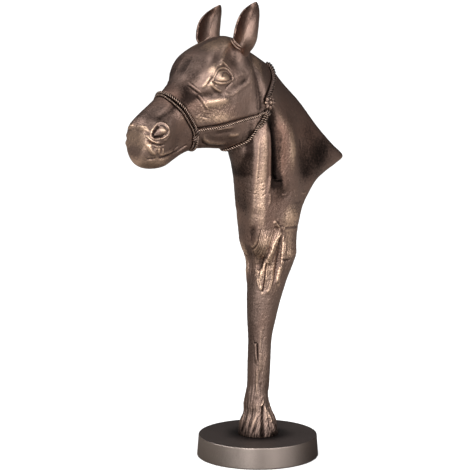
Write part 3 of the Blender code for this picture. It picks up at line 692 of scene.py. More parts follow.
# Where each texture or tone lies in the side view: soft ovals with a centre (y, z), radii and
# strength, and strips with a path, half-width and strength
ovals = {
    "hammered": (
        ((-147, 556), (18, 14), 1.0), ((-115, 560), (28, 15), 1.0), ((-245, 525), (26, 26), 0.08),
        ((30, 480), (14, 50), 0.5), ((60, 380), (30, 24), 0.7), ((10, 300), (70, 60), 0.5),
    ),
    "pitted": (
        ((-22, 420), (14, 60), 1.0), ((36, 480), (14, 50), 0.9), ((60, 400), (30, 40), 0.8),
        ((20, 330), (50, 60), 0.6), ((0, 100), (40, 60), 0.3),
    ),
    "wood": (
        ((10, 300), (60, 62), 1.0), ((0, 90), (40, 110), 0.5), ((0, 30), (60, 46), 1.5),
    ),
    "reddish": (
        ((24, 500), (30, 55), 0.9), ((-190, 580), (50, 20), 0.7), ((10, 430), (30, 80), 0.6),
        ((0, 320), (60, 60), 0.4), ((90, 500), (40, 50), 0.7), ((-120, 556), (34, 20), 0.5),
    ),
    # Places made bright: partly metal that handling and the finisher's cloth have rubbed bright, partly
    # painted highlights where light falls, as on the brow and the top of the head
    "rubbed_and_highlit": (
        ((-136, 626), (9, 8), 0.75), ((-118, 628), (14, 9), 0.35), ((-134, 602), (18, 7), 0.85),
        ((-128, 572), (24, 7), 1.0), ((-124, 562), (20, 8), 0.4), ((-117, 548), (24, 8), 1.0),
        ((-150, 546), (12, 10), 0.6), ((-184, 552), (8, 10), 0.6), ((-249, 537), (3.5, 4), 0.8),
        ((-255, 522), (7, 18), 0.75), ((-118, 668), (20, 12), 0.8), ((-84, 672), (20, 10), 0.6),
        ((-21, 636), (15, 16), 1.0),
        ((-248, 508), (8, 8), 0.5), ((-240, 502), (8, 7), 0.6), ((-230, 500), (4, 6), 0.5),
        ((-221, 500), (4, 7), 0.6), ((-236, 481), (28, 10), 0.9), ((46, 490), (10, 42), 0.7),
        ((20, 542), (9, 20), 0.4), ((42, 336), (14, 26), 0.5), ((-14, 288), (8, 26), 0.4),
        ((-8, 332), (20, 20), 0.8), ((-20, 313), (12, 11), 1.0), ((13, 340), (7, 14), 0.3),
        ((0, 280), (13, 34), 0.65), ((46, 374), (24, 26), 1.0), ((44, 316), (11, 18), 0.6),
        ((24, 268), (7, 22), 0.6), ((-2, 130), (9, 60), 0.35), ((-74, 518), (14, 10), 0.3),
    ),
    # Places made dark: partly dark patina that stays, partly painted shade where no light falls, as on the
    # side of the nose, behind the jaw and by the crest, and a painted shadow along the bottom of the foot
    "darkPatinaAndShade": (
        ((106, 466), (36, 32), 1.5), ((140, 488), (34, 20), 0.7), ((-174, 592), (13, 16), 1.4),
        ((-158, 582), (20, 8), 1.0), ((-180, 574), (14, 9), 1.1), ((-159, 622), (9, 22), 1.1),
        ((-144, 590), (7, 5), 0.4),
        ((-146, 640), (10, 13), 1.0), ((-80, 650), (11, 14), 0.9), ((-70, 608), (8, 11), 0.5),
        ((-47, 530), (9, 18), 0.95), ((-30, 514), (12, 26), 0.35), ((22, 490), (7, 40), 0.3),
        ((98, 512), (20, 16), 0.5), ((-168, 515), (12, 12), 0.4),
        ((-188, 515), (8, 10), 0.4), ((20, 418), (20, 30), 0.9), ((0, 2), (90, 17), 1.3),
        ((-18, 552), (12, 14), 0.4), ((-88, 612), (16, 20), 0.3), ((82, 442), (20, 14), 0.7),
        ((62, 394), (20, 10), 0.2), ((-210, 568), (22, 14), 0.7), ((-232, 551), (16, 10), 0.95),
        ((90, 545), (40, 30), 0.25), ((-92, 632), (14, 12), 0.25), ((-26, 352), (7, 30), 0.5),
    ),
}
strips = {
    # A strip of rubbed metal with a painted highlight down the neck's front column
    "rubbed_and_highlit": (
        (((-17, 530), (-18, 505), (-18, 472), (-19, 442), (-20, 420), (-20, 395), (-20, 364),
          (-17, 345)), 8, 0.5),
    ),
    # Strips of dark patina and painted shade: behind the jaw, along the neck's groove and its front, in a
    # groove of the split wood and down the stem's front
    "darkPatinaAndShade": (
        (((-36, 626), (-33, 608), (-30, 590), (-28, 570), (-24, 552)), 14, 1.15),
        (((-14, 566), (-4, 550), (4, 533), (8, 512), (9, 489), (9, 461), (10, 438), (12, 416)), 13.5, 1.5),
        (((-50, 530), (-49, 500), (-48, 470), (-46.5, 440), (-44, 410), (-42, 375)), 15.5, 0.95),
        (((-44, 530), (-42, 500), (-41, 470), (-39, 440)), 7, 0.55),
        (((24, 344), (22, 320), (20, 298), (18, 272), (15, 254)), 4.5, 0.35),
        (((-25, 310), (-24, 262), (-20, 225), (-20, 150), (-20, 110)), 12, 0.6),
    ),
}
stripFade = 0.12           # share of a strip's length over which its ends fade
strongestMask = 3          # where ovals and strips add up


# Strength of a texture or tone at each point: its ovals as bell curves and its strips' exp(-(d/w)^6),
# added up
def areaMask(points, kind):
    y, z = points[..., 1], points[..., 2]
    mask = sum(strength * bell(y - cy, ry) * bell(z - cz, rz)
               for (cy, cz), (ry, rz), strength in ovals[kind])
    for path, width, strength in strips.get(kind, ()):
        away, _, share = pathDistance(y, z, path)
        ends = smoothStep(np.minimum(share, 1 - share), 0, stripFade)
        mask = mask + strength * ends * np.exp(-((away / width) ** 6))
    return np.minimum(mask, strongestMask)


# Wear and painted shading, from -0.95 for the deepest dark to 1 for the brightest metal: what each cause
# adds to it, the metal's own patina and rubbing as well as painted shade and painted highlights
wearAndShadingWeights = {
    "level": 0.38,
    "near": (2, 0.3, 0.18),    # standing proud: steps to the neighbours, height that counts, weight
    "wide": (7, 1.6, 0.14),
    "carved": (-5, 1.5, 0.11),  # depth and height of the carving that still count, and its weight
    "rubbed_and_highlit": 0.42,
    # Both the rubbed places and the painted highlights come in over this distance from the plane of
    # symmetry
    "rubbedAndHighlitAside": (4, 12),    # distance from the plane of symmetry over which rubbing comes in
    "muzzle": (150, 200),      # and how far forward it comes in at the plane itself
    # Weight of the dark patina and painted shade
    "darkPatinaAndShade": 0.42,
    "range": (-0.95, 1),
}
tintClouds = (45.0, 0.25, 83)  # size, strength and seed of reddish clouds all over the metal


# How far each point stands above the mean of its neighbours a few steps away, along its normal
def standing(points, normals, steps):
    padded = np.pad(points, ((steps, steps), (0, 0), (0, 0)), mode="edge")
    mean = (padded[2 * steps:] + padded[:-2 * steps] + np.roll(points, steps, axis=1)
            + np.roll(points, -steps, axis=1)) / 4
    return np.einsum("ijk,ijk->ij", points - mean, normals)


# One part of the casting: plain rings, large forms pushed out along their normals, then fine
# carving and texture pushed out along the new ones
def castPart(made, part):
    plain, sink = bodyRings(made, part)
    tall = carvedHeight(plain, largeForms) + jawHeight(plain, largeForms)
    formed = plain + gridNormals(plain) * tall[..., None]
    masks = {kind: areaMask(plain, kind) for kind in ovals}
    fine = carvedHeight(plain, fineForms) + bundleHeight(plain, fineForms["bundles"])
    fine += stemHeight(plain, stemForms) + eyeHeight(plain, eye) + nostrilHeight(plain, nostril)
    deepest, highest, weight = wearAndShadingWeights["carved"]
    wear_and_shading = wearAndShadingWeights["level"] + weight * np.clip(fine, deepest, highest)
    fine += castTexture(formed, masks["hammered"], masks["pitted"], masks["wood"])
    final = formed + gridNormals(formed) * (fine - sink[:, None])[..., None]
    proud = gridNormals(final)
    for steps, height, weight in (wearAndShadingWeights["near"], wearAndShadingWeights["wide"]):
        wear_and_shading += weight * np.clip(standing(final, proud, steps) / height, -1, 1)
    # Rubbed bright places and painted highlights are added
    aside = np.maximum(smoothStep(np.abs(plain[..., 0]), *wearAndShadingWeights["rubbedAndHighlitAside"]),
                       smoothStep(-plain[..., 1], *wearAndShadingWeights["muzzle"]))
    wear_and_shading += wearAndShadingWeights["rubbed_and_highlit"] * aside * np.minimum(masks["rubbed_and_highlit"], 1)
    # Dark patina and painted shade are taken off
    wear_and_shading -= wearAndShadingWeights["darkPatinaAndShade"] * masks["darkPatinaAndShade"]
    size, strength, seed = tintClouds
    tint = masks["reddish"] + strength * layeredNoise(plain, size, seed)
    return final, np.clip(wear_and_shading, *wearAndShadingWeights["range"]), np.clip(tint, 0, 1)


# Inputs of a shader node, each given a constant set on its socket, or a link
def setInputs(tree, node, inputs):
    for label, value in inputs.items():
        if isinstance(value, bpy.types.NodeSocket):
            tree.links.new(value, node.inputs[label])
        else:
            node.inputs[label].default_value = value
    return node


def addNode(tree, kind, inputs):
    return setInputs(tree, tree.nodes.new("ShaderNode" + kind), inputs)


def colourMix(tree, factor, first, second):
    node = addNode(tree, "Mix", {})
    node.data_type = "RGBA"
    return setInputs(tree, node, {"Factor": factor, 6: first, 7: second}).outputs[2]


def smoothBetween(tree, value, low, high):
    node = addNode(tree, "MapRange", {"Value": value, "From Min": low, "From Max": high})
    node.interpolation_type = "SMOOTHSTEP"
    return node.outputs["Result"]


# What all patina shares: noise scales in lumps to the metre with their detail, and the values of wear and
# painted shading between which one colour goes over into the next
patinaLook = {
    "cloud": (38.0, 4.0),
    "speck": (420.0, 3.0),
    "relief": (900.0, 2.0),
    "speckShare": 1.3,           # of the specks in the mottling, to one of the clouds
    "cloudTint": 0.9,
    "cloudRelief": 0.5,
    "speckRough": 0.16,
    "black": (0.006, 0.004, 0.0035, 1),
    "blackToHollow": (-0.85, -0.45),
    "hollowToBronze": (-0.3, 0.42),
    "bronzeToRubbedAndHighlit": (0.45, 0.95),
    "roughToSmooth": (0.1, 0.9),
    "bumpDistance": 0.0006,
}


# Bronze patina, as a group: the mask of wear and painted shading and mottling noise choose between black, a
# dark hollow colour, the bronze, reddish by the tint, and the rubbed metal, and the same mask makes
# brighter places smoother. Black and the hollow colour serve both for dark patina and for painted shade,
# the rubbed metal both for rubbing and for painted highlights
def patinaGroup(look):
    group = bpy.data.node_groups.new("bronzePatina", "ShaderNodeTree")
    inputs = {"Wear_and_shading": "Float", "Tint": "Float", "Hollow": "Color", "Bronze": "Color", "Reddish": "Color",
              "Rubbed_and_highlit": "Color", "Mottle": "Float", "Rough": "Float", "Smooth": "Float"}
    outputs = {"Colour": "Color", "Roughness": "Float", "Relief": "Float"}
    for direction, sockets in (("INPUT", inputs), ("OUTPUT", outputs)):
        for label, kind in sockets.items():
            group.interface.new_socket(label, in_out=direction, socket_type="NodeSocket" + kind)
    given = group.nodes.new("NodeGroupInput").outputs
    place = addNode(group, "TexCoord", {}).outputs["Object"]
    cloudNoise, speckNoise, relief = (
        addNode(group, "TexNoise", {"Scale": scale, "Detail": detail, "Vector": place}).outputs["Fac"]
        for scale, detail in (look["cloud"], look["speck"], look["relief"]))

    def calculate(operation, first, second, clamp=False):
        node = addNode(group, "Math", {0: first, 1: second})
        node.operation = operation
        node.use_clamp = clamp
        return node.outputs[0]

    def withShare(value, added, share, clamp=False):
        return calculate("ADD", value, calculate("MULTIPLY", added, share), clamp)

    cloud = calculate("SUBTRACT", cloudNoise, 0.5)
    speck = calculate("SUBTRACT", speckNoise, 0.5)
    mottledWearAndShading = withShare(given["Wear_and_shading"], withShare(cloud, speck, look["speckShare"]), given["Mottle"])
    tint = withShare(given["Tint"], cloud, look["cloudTint"], True)
    metal = colourMix(group, tint, given["Bronze"], given["Reddish"])
    metal = colourMix(group, smoothBetween(group, mottledWearAndShading, *look["hollowToBronze"]), given["Hollow"], metal)
    metal = colourMix(group, smoothBetween(group, mottledWearAndShading, *look["bronzeToRubbedAndHighlit"]), metal, given["Rubbed_and_highlit"])
    metal = colourMix(group, smoothBetween(group, mottledWearAndShading, *look["blackToHollow"]), look["black"], metal)
    slope = calculate("SUBTRACT", given["Smooth"], given["Rough"])
    roughness = withShare(given["Rough"], slope, smoothBetween(group, mottledWearAndShading, *look["roughToSmooth"]))
    setInputs(group, group.nodes.new("NodeGroupOutput"), {
        "Colour": metal, "Roughness": withShare(roughness, speck, look["speckRough"], True),
        "Relief": withShare(relief, cloud, look["cloudRelief"])})
    return group


# A metal made from the patina group, with its wear and painted shading and its tint read from the mesh and
# a fine bump
def bronzeMaterial(name, patina, finish):
    made = bpy.data.materials.new(name)
    made.use_nodes = True
    tree = made.node_tree
    group = tree.nodes.new("ShaderNodeGroup")
    group.node_tree = patina
    setInputs(tree, group, {label: finish[label.lower()] for label in
                            ("Hollow", "Bronze", "Reddish", "Rubbed_and_highlit", "Mottle", "Rough", "Smooth")})
    for label in ("Wear_and_shading", "Tint"):
        field = addNode(tree, "Attribute", {})
        field.attribute_name = label.lower()
        tree.links.new(field.outputs["Fac"], group.inputs[label])
    bump = addNode(tree, "Bump", {"Strength": finish["bump"], "Distance": patinaLook["bumpDistance"],
                                  "Height": group.outputs["Relief"]})
    setInputs(tree, tree.nodes["Principled BSDF"], {
        "Metallic": finish["metallic"], "Base Color": group.outputs["Colour"],
        "Roughness": group.outputs["Roughness"], "Normal": bump.outputs["Normal"]})
    return made


# Each finish's hollow colour also stands for painted shade, and its bright rubbed colour for painted
# highlights, where the mask carries them
finishes = {
    "figure": {"hollow": (0.028, 0.018, 0.015, 1), "bronze": (0.31, 0.215, 0.178, 1),
               "reddish": (0.3, 0.178, 0.135, 1), "rubbed_and_highlit": (0.85, 0.6, 0.44, 1),
               "mottle": 0.3, "rough": 0.47, "smooth": 0.41, "bump": 0.4, "metallic": 1.0},
    "rope": {"hollow": (0.008, 0.005, 0.005, 1), "bronze": (0.16, 0.115, 0.098, 1),
             "reddish": (0.2, 0.12, 0.095, 1), "rubbed_and_highlit": (0.78, 0.57, 0.45, 1),
             "mottle": 0.3, "rough": 0.5, "smooth": 0.4, "bump": 0.25, "metallic": 1.0},
    "baseSide": {"hollow": (0.2, 0.155, 0.14, 1), "bronze": (0.5, 0.415, 0.37, 1),
                 "reddish": (0.48, 0.39, 0.345, 1), "rubbed_and_highlit": (0.82, 0.7, 0.63, 1),
                 "mottle": 0.12, "rough": 0.45, "smooth": 0.36, "bump": 0.08, "metallic": 1.0},
    "baseTop": {"hollow": (0.012, 0.009, 0.008, 1), "bronze": (0.085, 0.067, 0.061, 1),
                "reddish": (0.095, 0.069, 0.06, 1), "rubbed_and_highlit": (0.16, 0.125, 0.11, 1),
                "mottle": 0.3, "rough": 0.55, "smooth": 0.48, "bump": 0.2, "metallic": 0.7},
}
patina = patinaGroup(patinaLook)
bronzes = {name: bronzeMaterial(name + "Bronze", patina, finish) for name, finish in finishes.items()}
print("materials ready")


# Ears: middle (x, y, z), half-width, half-depth, angle from the back to each rim, how hollow the
# front is, and its turn outwards in degrees
ears = {
    "sections": (
        ((24, -62, 632), 7, 9, 100, 0.0, 0),
        ((31, -64, 647), 11, 13, 105, 0.1, 0),
        ((41, -67, 661), 17, 18.5, 115, 0.6, -1),
        ((45.5, -68, 672), 19.5, 21, 121, 0.9, -3),
        ((47, -67, 684), 19.8, 21, 121, 1.0, -4),
        ((47.5, -65, 696), 19.5, 20.5, 117, 1.0, -4),
        ((47.5, -61.5, 708), 18, 18.5, 113, 1.0, -2),
        ((46.8, -56, 719), 14.5, 14.8, 107, 0.95, 3),
        ((45.8, -49, 728), 8, 8.5, 100, 0.6, 8),
        ((45, -43.5, 733.2), 1.8, 2.2, 92, 0.1, 8),
    ),
    "wall": 0.17,
    "rings": 130,
    "around": 150,
    "rightDrop": 6,            # how much lower the right ear ends than the left
    "rightLean": (4, 30),      # how far it leans out, and the height over which that comes in
    "unevenness": ((5.0, 0.15, 71), (1.8, 0.08, 72)),    # size, height and seed
    "wear_and_shading": 0.4,
    # Wear and painted shading added in the hollow of the left (1) and right (-1) ear, low and high in it,
    # and the heights between which one goes over into the other: darker high in both, with painted light
    # low in the near, left ear and painted shade low in the far, right one
    "hollowPatinaAndShading": {1: (0.3, -0.22), -1: (-0.12, -0.22)},
    "hollowHeights": (676, 700),
    "proud": (3, 0.8, 0.3),    # standing proud, as in wearAndShadingWeights
    "darkest": -0.3,
    "tint": (20.0, 0.25, 0.25, 84),    # size of its clouds, level, strength and seed
}


# An ear: each ring's back is an arc of an ellipse between its rims, and its front lies between
# the rims' chord and that arc drawn inwards by the wall
def earGrid(made, side):
    table = np.array([[*middle, *rest] for middle, *rest in made["sections"]], float)
    rows = spline(table, np.linspace(0, len(table) - 1, made["rings"]))
    if side < 0:
        root, tip = rows[0, 2], rows[-1, 2]
        lean, height = made["rightLean"]
        rows[:, 0] += lean * np.clip((rows[:, 2] - root) / height, 0, 1)
        rows[:, 2] = root + (rows[:, 2] - root) * (tip - made["rightDrop"] - root) / (tip - root)
    half = made["around"] // 2
    fromMiddle = np.linspace(-1, 1, half) * math.pi / 2
    share = np.sin(fromMiddle)
    x, y, z, width, depth, rim, hollow, turn = (rows[:, [k]] for k in range(8))
    angle = np.radians(rim) * share
    inner = 1 - made["wall"]
    across, deep = width * np.sin(angle), depth * np.cos(angle)
    chord = across[:, -1:] * share * inner
    frontAcross = chord + (across * inner - chord) * hollow
    frontDeep = deep[:, -1:] + (deep * inner - deep[:, -1:]) * hollow
    ringX = np.concatenate([across, frontAcross[:, ::-1]], axis=1)
    ringY = np.concatenate([deep, frontDeep[:, ::-1]], axis=1)
    c, s = np.cos(np.radians(turn)), np.sin(np.radians(turn))
    grid = np.stack([x + ringX * c - ringY * s, y + ringX * s + ringY * c, z + 0 * ringX], axis=-1)
    normals = gridNormals(grid)
    uneven = sum(rise * noise(grid, size, seed) for size, rise, seed in made["unevenness"])
    grid = grid + normals * uneven[..., None]
    inward = np.concatenate([np.zeros(half), np.cos(fromMiddle)])
    low, top = made["hollowPatinaAndShading"][side]
    wear_and_shading = made["wear_and_shading"] + inward * hollow * (low + (top - low) * smoothStep(z, *made["hollowHeights"]))
    steps, height, weight = made["proud"]
    wear_and_shading = wear_and_shading + weight * np.clip(standing(grid, normals, steps) / height, -1, 1)
    wear_and_shading = np.clip(wear_and_shading, made["darkest"], 1)
    grid = grid * (side, 1, 1)
    return (grid, wear_and_shading) if side > 0 else (grid[:, ::-1], wear_and_shading[:, ::-1])


castParts = {partName: castPart(body, body[partName]) for partName in ("head", "neck", "stem")}
earParts = {label: earGrid(ears, side) for label, side in bothSides.items()}
print("casting worked out")


# Search tree of the surface that the halter is laid on, from grids of rings
def surfaceTree(grids):
    points, faces, offset = [], [], 0
    for grid in grids:
        quads = ringQuads(*grid.shape[:2], offset)[1]
        faces.append(np.roll(quads[:, ::-1], 1, axis=1))
        points.append(grid.reshape(-1, 3))
        offset += len(points[-1])
    return BVHTree.FromPolygons(np.vstack(points).tolist(), np.vstack(faces).tolist())


laidOn = (castParts["head"], castParts["neck"], *earParts.values())
surface = surfaceTree([part[0][::3, ::3] for part in laidOn])


# The nearest place on the figure to a point that is given on the left side, and the normal there
def onSurface(place, side):
    spot, normal = surface.find_nearest(Vector(np.asarray(place) * (side, 1, 1)))[:2]
    return np.array(spot), np.array(normal)


# Halter cords: guide points (x, y, z) on the left side, laid on the surface; thickness, length of one
# twist, lift off the surface as a share of the thickness, the bed's depth, and how much the strands'
# outward side is brightened
throatGuide = ((0, -73, 491), (9, -70, 492), (17, -65, 494.5), (28, -53, 499), (37, -40, 511),
               (40, -29, 526), (41, -18, 541), (41, -10, 551))
halter = {
    "nosebandRear": {
        "guide": ((0, -201, 591), (16, -199, 588), (25, -194, 581), (33, -184, 569), (36, -173, 555),
                  (35, -162, 541), (33, -153, 526), (27, -147, 513), (16, -144, 503), (0, -143, 498)),
        "thickness": 5.0, "lay": 7.5, "lift": 0.4, "bed": 2.0, "shine": 1.1, "closed": True},
    "nosebandFront": {
        "guide": ((0, -206, 588), (8, -204, 586), (22, -199, 577), (30, -190, 566), (32, -180, 555),
                  (31, -170, 542), (30, -160, 530), (28, -154, 518), (17, -150, 505), (0, -149, 498)),
        "thickness": 2.9, "lay": 5.5, "lift": 0.35, "bed": 1.2, "shine": 1.2, "closed": True},
    "throatUpper": {
        "guide": throatGuide, "shift": -0.45,
        "thickness": 5.4, "lay": 8.0, "lift": 0.36, "bed": 0.5, "shine": 1.0},
    "throatLower": {
        "guide": throatGuide, "shift": 0.45,
        "thickness": 5.4, "lay": 8.0, "lift": 0.36, "bed": 0.5, "shine": 1.1},
    "crownFront": {
        "guide": ((0, 18, 628), (10, 20, 617), (18, 15, 605), (26, 5, 594), (34, -5, 582), (38, -11, 572)),
        "thickness": 8.4, "lay": 14.0, "lift": 0.25, "bed": 2.0, "shine": 0.5, "strands": 3},
    "crownRear": {
        "guide": ((0, 25, 624), (12, 24, 613), (20, 19, 602), (28, 9, 592), (35, 0, 581), (38, -6, 572)),
        "thickness": 3.6, "lay": 8.0, "lift": 0.5, "bed": 0.8, "shine": 1.1},
    "cheek": {
        "guide": ((34, -152, 526), (41, -114, 531.5), (44, -86, 537.5), (44, -54, 543.5), (42, -30, 548),
                  (41, -11, 552)),
        "thickness": 5.2, "lay": 7.5, "lift": 0.45, "bed": 0.8, "shine": 1.5},
}
# Where a cord doesn't say otherwise: its strands, its shift across as a share of the thickness,
# and whether it runs round as a ring
usualCord = {"strands": 2, "shift": 0, "closed": False}
cordDrawing = {
    "strandSides": 10,
    "strandSize": {2: 0.62, 3: 0.56},    # radius of one of two or three, as a share of the cord's
    "step": 0.5,
    "samples": 70,
    "smoothing": 8,
    "wear_and_shading": (0.05, 0.75),                # between the strands, and added on their outward side
}


# Points spread evenly, one step apart, along a path of rows, with every column carried along
def evenly(rows, step, closed):
    rows = np.vstack([rows, rows[:1]]) if closed else rows
    passed = np.concatenate([[0], np.cumsum(np.linalg.norm(np.diff(rows[:, :3], axis=0), axis=1))])
    at = np.linspace(0, passed[-1], max(int(passed[-1] / step), 8))
    if closed:
        at = at[:-1]
    spread = np.stack([np.interp(at, passed, column) for column in rows.T], axis=-1)
    return spread, at / passed[-1], passed[-1]


# Direction of travel at each row of a path, from the step between its neighbours
def travel(rows, closed):
    steps = np.roll(rows, -1, axis=0) - np.roll(rows, 1, axis=0) if closed else np.gradient(rows, axis=0)
    return unitLength(steps)


# Round section of a tube swept along a path, from two directions square to it
def sweptTube(middle, up, across, radius, circle):
    circle = circle[:, None]
    return middle[:, None] + radius * (up[:, None] * np.cos(circle) + across[:, None] * np.sin(circle))


# A path laid on the surface: a curve through the guide points, each moved to the nearest place on
# the figure, with the surface's normal there, then lifted and shifted sideways
def laidPath(cord, sides):
    guide = np.array(cord["guide"], float)
    curve = spline(guide, np.linspace(0, len(guide) - 1, cordDrawing["samples"]))
    halves = [np.array([np.concatenate(onSurface(spot, side)) for spot in curve]) for side in sides]
    path = halves[0] if len(halves) == 1 else np.vstack([halves[0][:0:-1], halves[1]])
    if cord["closed"]:
        path = path[1:]
    path = smoothed(path, cordDrawing["smoothing"], cord["closed"])
    normals = unitLength(path[:, 3:])
    across = unitLength(np.cross(travel(path[:, :3], cord["closed"]), normals))
    place = path[:, :3] + cord["thickness"] * (cord["lift"] * normals + cord["shift"] * across)
    return np.hstack([place, normals])


# Twisted cord: each strand's middle turns round the path once in every lay, and its own round
# section is swept along it. The strands are worn on their outward side and dark between
def twistedCord(name, path, cord):
    rows, share, length = evenly(path, cordDrawing["step"], cord["closed"])
    middle = rows[:, :3]
    along = travel(middle, cord["closed"])
    up = unitLength(rows[:, 3:] - along * np.einsum("ij,ij->i", rows[:, 3:], along)[:, None])
    across = np.cross(along, up)
    radius = cord["thickness"] / 2
    strandRadius = radius * cordDrawing["strandSize"][cord["strands"]]
    twists = max(round(length / cord["lay"]), 1)
    circle = turnsRound(cordDrawing["strandSides"])
    hollow, added = cordDrawing["wear_and_shading"]
    facing = hollow + added * cord["shine"] * smoothStep(np.cos(circle), 0.1, 1.0)
    tubes = []
    for strand in range(cord["strands"]):
        phase = ((share * twists + strand / cord["strands"]) * 2 * math.pi)[:, None]
        out = up * np.cos(phase) + across * np.sin(phase)
        side = across * np.cos(phase) - up * np.sin(phase)
        grid = sweptTube(middle + out * (radius - strandRadius), out, side, strandRadius, circle)
        tubes.append((grid, np.broadcast_to(facing, grid.shape[:2])))
    return joinedTubes(name, tubes, cord["closed"])


# Several tubes as one mesh: quads along each, closed on itself or capped at each end
def joinedTubes(name, tubes, closed):
    points, faces, wears, offset = [], [], [], 0
    for grid, wear_and_shading in tubes:
        index, quads = ringQuads(*grid.shape[:2], offset, closed)
        faces += quads.tolist()
        if not closed:
            faces += [index[0, ::-1].tolist(), index[-1].tolist()]
        points.append(grid.reshape(-1, 3))
        wears.append(wear_and_shading.reshape(-1))
        offset += index.size
    return smoothMesh(name, placed(np.vstack(points)), faces, {"wear_and_shading": np.concatenate(wears)})


cordPaths = {}
for cordName, own in halter.items():
    cord = {**usualCord, **own}
    if cordName == "cheek":
        for label, side in bothSides.items():
            cordPaths["cheek_" + label] = laidPath(cord, (side,)), cord
    else:
        cordPaths[cordName] = laidPath(cord, (1, -1)), cord
for label, (path, cord) in cordPaths.items():
    addPiece(twistedCord(label + "_cord", path, cord), bronzes["rope"])


# Distance of every grid point from the nearest place of a path, worked out where they are close
def pathReach(points, path, limit):
    reach = np.full(points.shape[:-1], np.inf)
    low, high = path.min(axis=0) - limit, path.max(axis=0) + limit
    close = np.all((points > low) & (points < high), axis=-1)
    picked = points[close]
    nearest = np.full(len(picked), np.inf)
    for start in range(0, len(path), 20):
        gap = picked[:, None] - path[None, start:start + 20]
        nearest = np.minimum(nearest, np.einsum("ijk,ijk->ij", gap, gap).min(axis=1))
    reach[close] = np.sqrt(nearest)
    return reach


# The cords' beds: how far the channel and its shadow reach past a cord's edge, and how dark the
# shadow is. Over the cheek's cord runs a second groove: its place, depth, half-width and shadow
beds = {
    "step": 1.5,
    "edge": 1.7,
    "shadow": 0.5,
    "cheekGroove": {"above": (0, -0.6, 3.6), "depth": 2.6, "width": 1.6, "shadowWidth": 1.8},
    "limit": 12,               # how far from a cord all this is worked out
}


# Beds of the cords: a channel just outside each cord's edge, and its shadow as lesser wear
def bedded(grid, wear_and_shading):
    depth = np.zeros(wear_and_shading.shape)
    for label, (path, cord) in cordPaths.items():
        line = evenly(path, beds["step"], cord["closed"])[0][:, :3]
        reach = pathReach(grid, line, beds["limit"])
        radius = cord["thickness"] / 2
        depth = np.maximum(depth, cord["bed"] * bell(np.maximum(reach - radius, 0), beds["edge"]))
        wear_and_shading = wear_and_shading - beds["shadow"] * np.exp(-((reach / (radius + beds["edge"])) ** 4))
        if label.startswith("cheek"):
            groove = beds["cheekGroove"]
            above = pathReach(grid, line + groove["above"], beds["limit"])
            depth += groove["depth"] * bell(above, groove["width"])
            wear_and_shading = wear_and_shading - beds["shadow"] * bell(above, groove["shadowWidth"])
    return grid - gridNormals(grid) * depth[..., None], np.clip(wear_and_shading, *wearAndShadingWeights["range"])


# A grid of the casting as a piece, kept within the figure's box. An ear gets its cloudy tint here
def addCasting(name, grid, wear_and_shading, tint=None):
    grid = np.clip(placed(grid), soleCorner, topCorner)
    if tint is None:
        size, level, strength, seed = ears["tint"]
        tint = level + strength * noise(grid / unit, size, seed)
    addPiece(meshOfRings(name, grid, {"wear_and_shading": wear_and_shading, "tint": tint}), bronzes["figure"])


for partName, (grid, wear_and_shading, tint) in castParts.items():
    if partName != "stem":
        grid, wear_and_shading = bedded(grid, wear_and_shading)
    addCasting("horse_" + partName, grid, wear_and_shading, tint)
for label, (grid, wear_and_shading) in earParts.items():
    addCasting("ear_" + label, grid, wear_and_shading)


# Knots: place (x, y, z) on the left side, half-sizes along, across and outwards, and the angle of
# the long side in the side view, in degrees
knots = {
    "side": ((34, -152, 524), (7.5, 4.6, 4.0), -55),
    "chin": ((27, -151, 512), (6.5, 4.8, 3.6), -70),
    "joint": ((41, -10, 551), (6.5, 4.6, 4.4), -60),
}
knotDrawing = {"winds": 9, "slant": 2, "height": 0.13, "raise": 0.35, "wear_and_shading": (0.32, 0.36), "rings": 60,
               "around": 72, "firstRing": 0.02}


# A knot: an ellipsoid whose radius swells and shrinks along winds of cord running slantwise round
# it, r = 1 + height * cos(winds), and whose wear goes up and down with them
def knotMesh(name, made, knot, side):
    place, sizes, slant = knot
    spot, normal = onSurface(place, side)
    start = math.radians(slant)
    along = np.array([0, math.cos(start), math.sin(start)])
    along = unitLength(along - normal * (along @ normal))
    polar = np.linspace(made["firstRing"], math.pi - made["firstRing"], made["rings"])[:, None]
    turn = turnsRound(made["around"])
    winds = np.cos(made["winds"] * polar + made["slant"] * turn)
    radius = 1 + made["height"] * winds * np.sin(polar)
    form = np.stack([radius * np.cos(polar), radius * np.sin(polar) * np.cos(turn),
                     radius * np.sin(polar) * np.sin(turn) + made["raise"]], axis=-1) * sizes
    grid = spot + form @ np.array([along, np.cross(normal, along), normal])
    level, swing = made["wear_and_shading"]
    return meshOfRings(name, placed(grid), {"wear_and_shading": level + swing * winds})


for knotName, knot in knots.items():
    for label, side in bothSides.items():
        addPiece(knotMesh(knotName + "_knot_" + label, knotDrawing, knot, side), bronzes["rope"])

rosette = {
    "place": (39, -6, 568),
    "radius": 10.6,
    "height": 4.2,
    "petals": 8,
    "raise": 3.0,
    "sink": 1.5,               # how far its back lies beneath the surface
    "petalReach": 0.1,
    "petalHeight": 0.2,
    "doming": 0.95,            # 1 is a full half-ball
    # Middle and ring: place, half-width and height in shares of the radius and height, and the
    # half-width and strength of their wear
    "dome": (0.28, 0.45, 0.25, 0.35),
    "sunkRing": (0.42, 0.1, 0.5, 0.12, 0.5),
    "wear_and_shading": (0.4, 0.3),        # level, and how much it swings with the petals
    "rings": 40,
    "backRings": 8,
    "firstRing": 0.03,         # shares of the radius, in front and on the back
    "lastRing": 0.05,
    "around": 120,
}


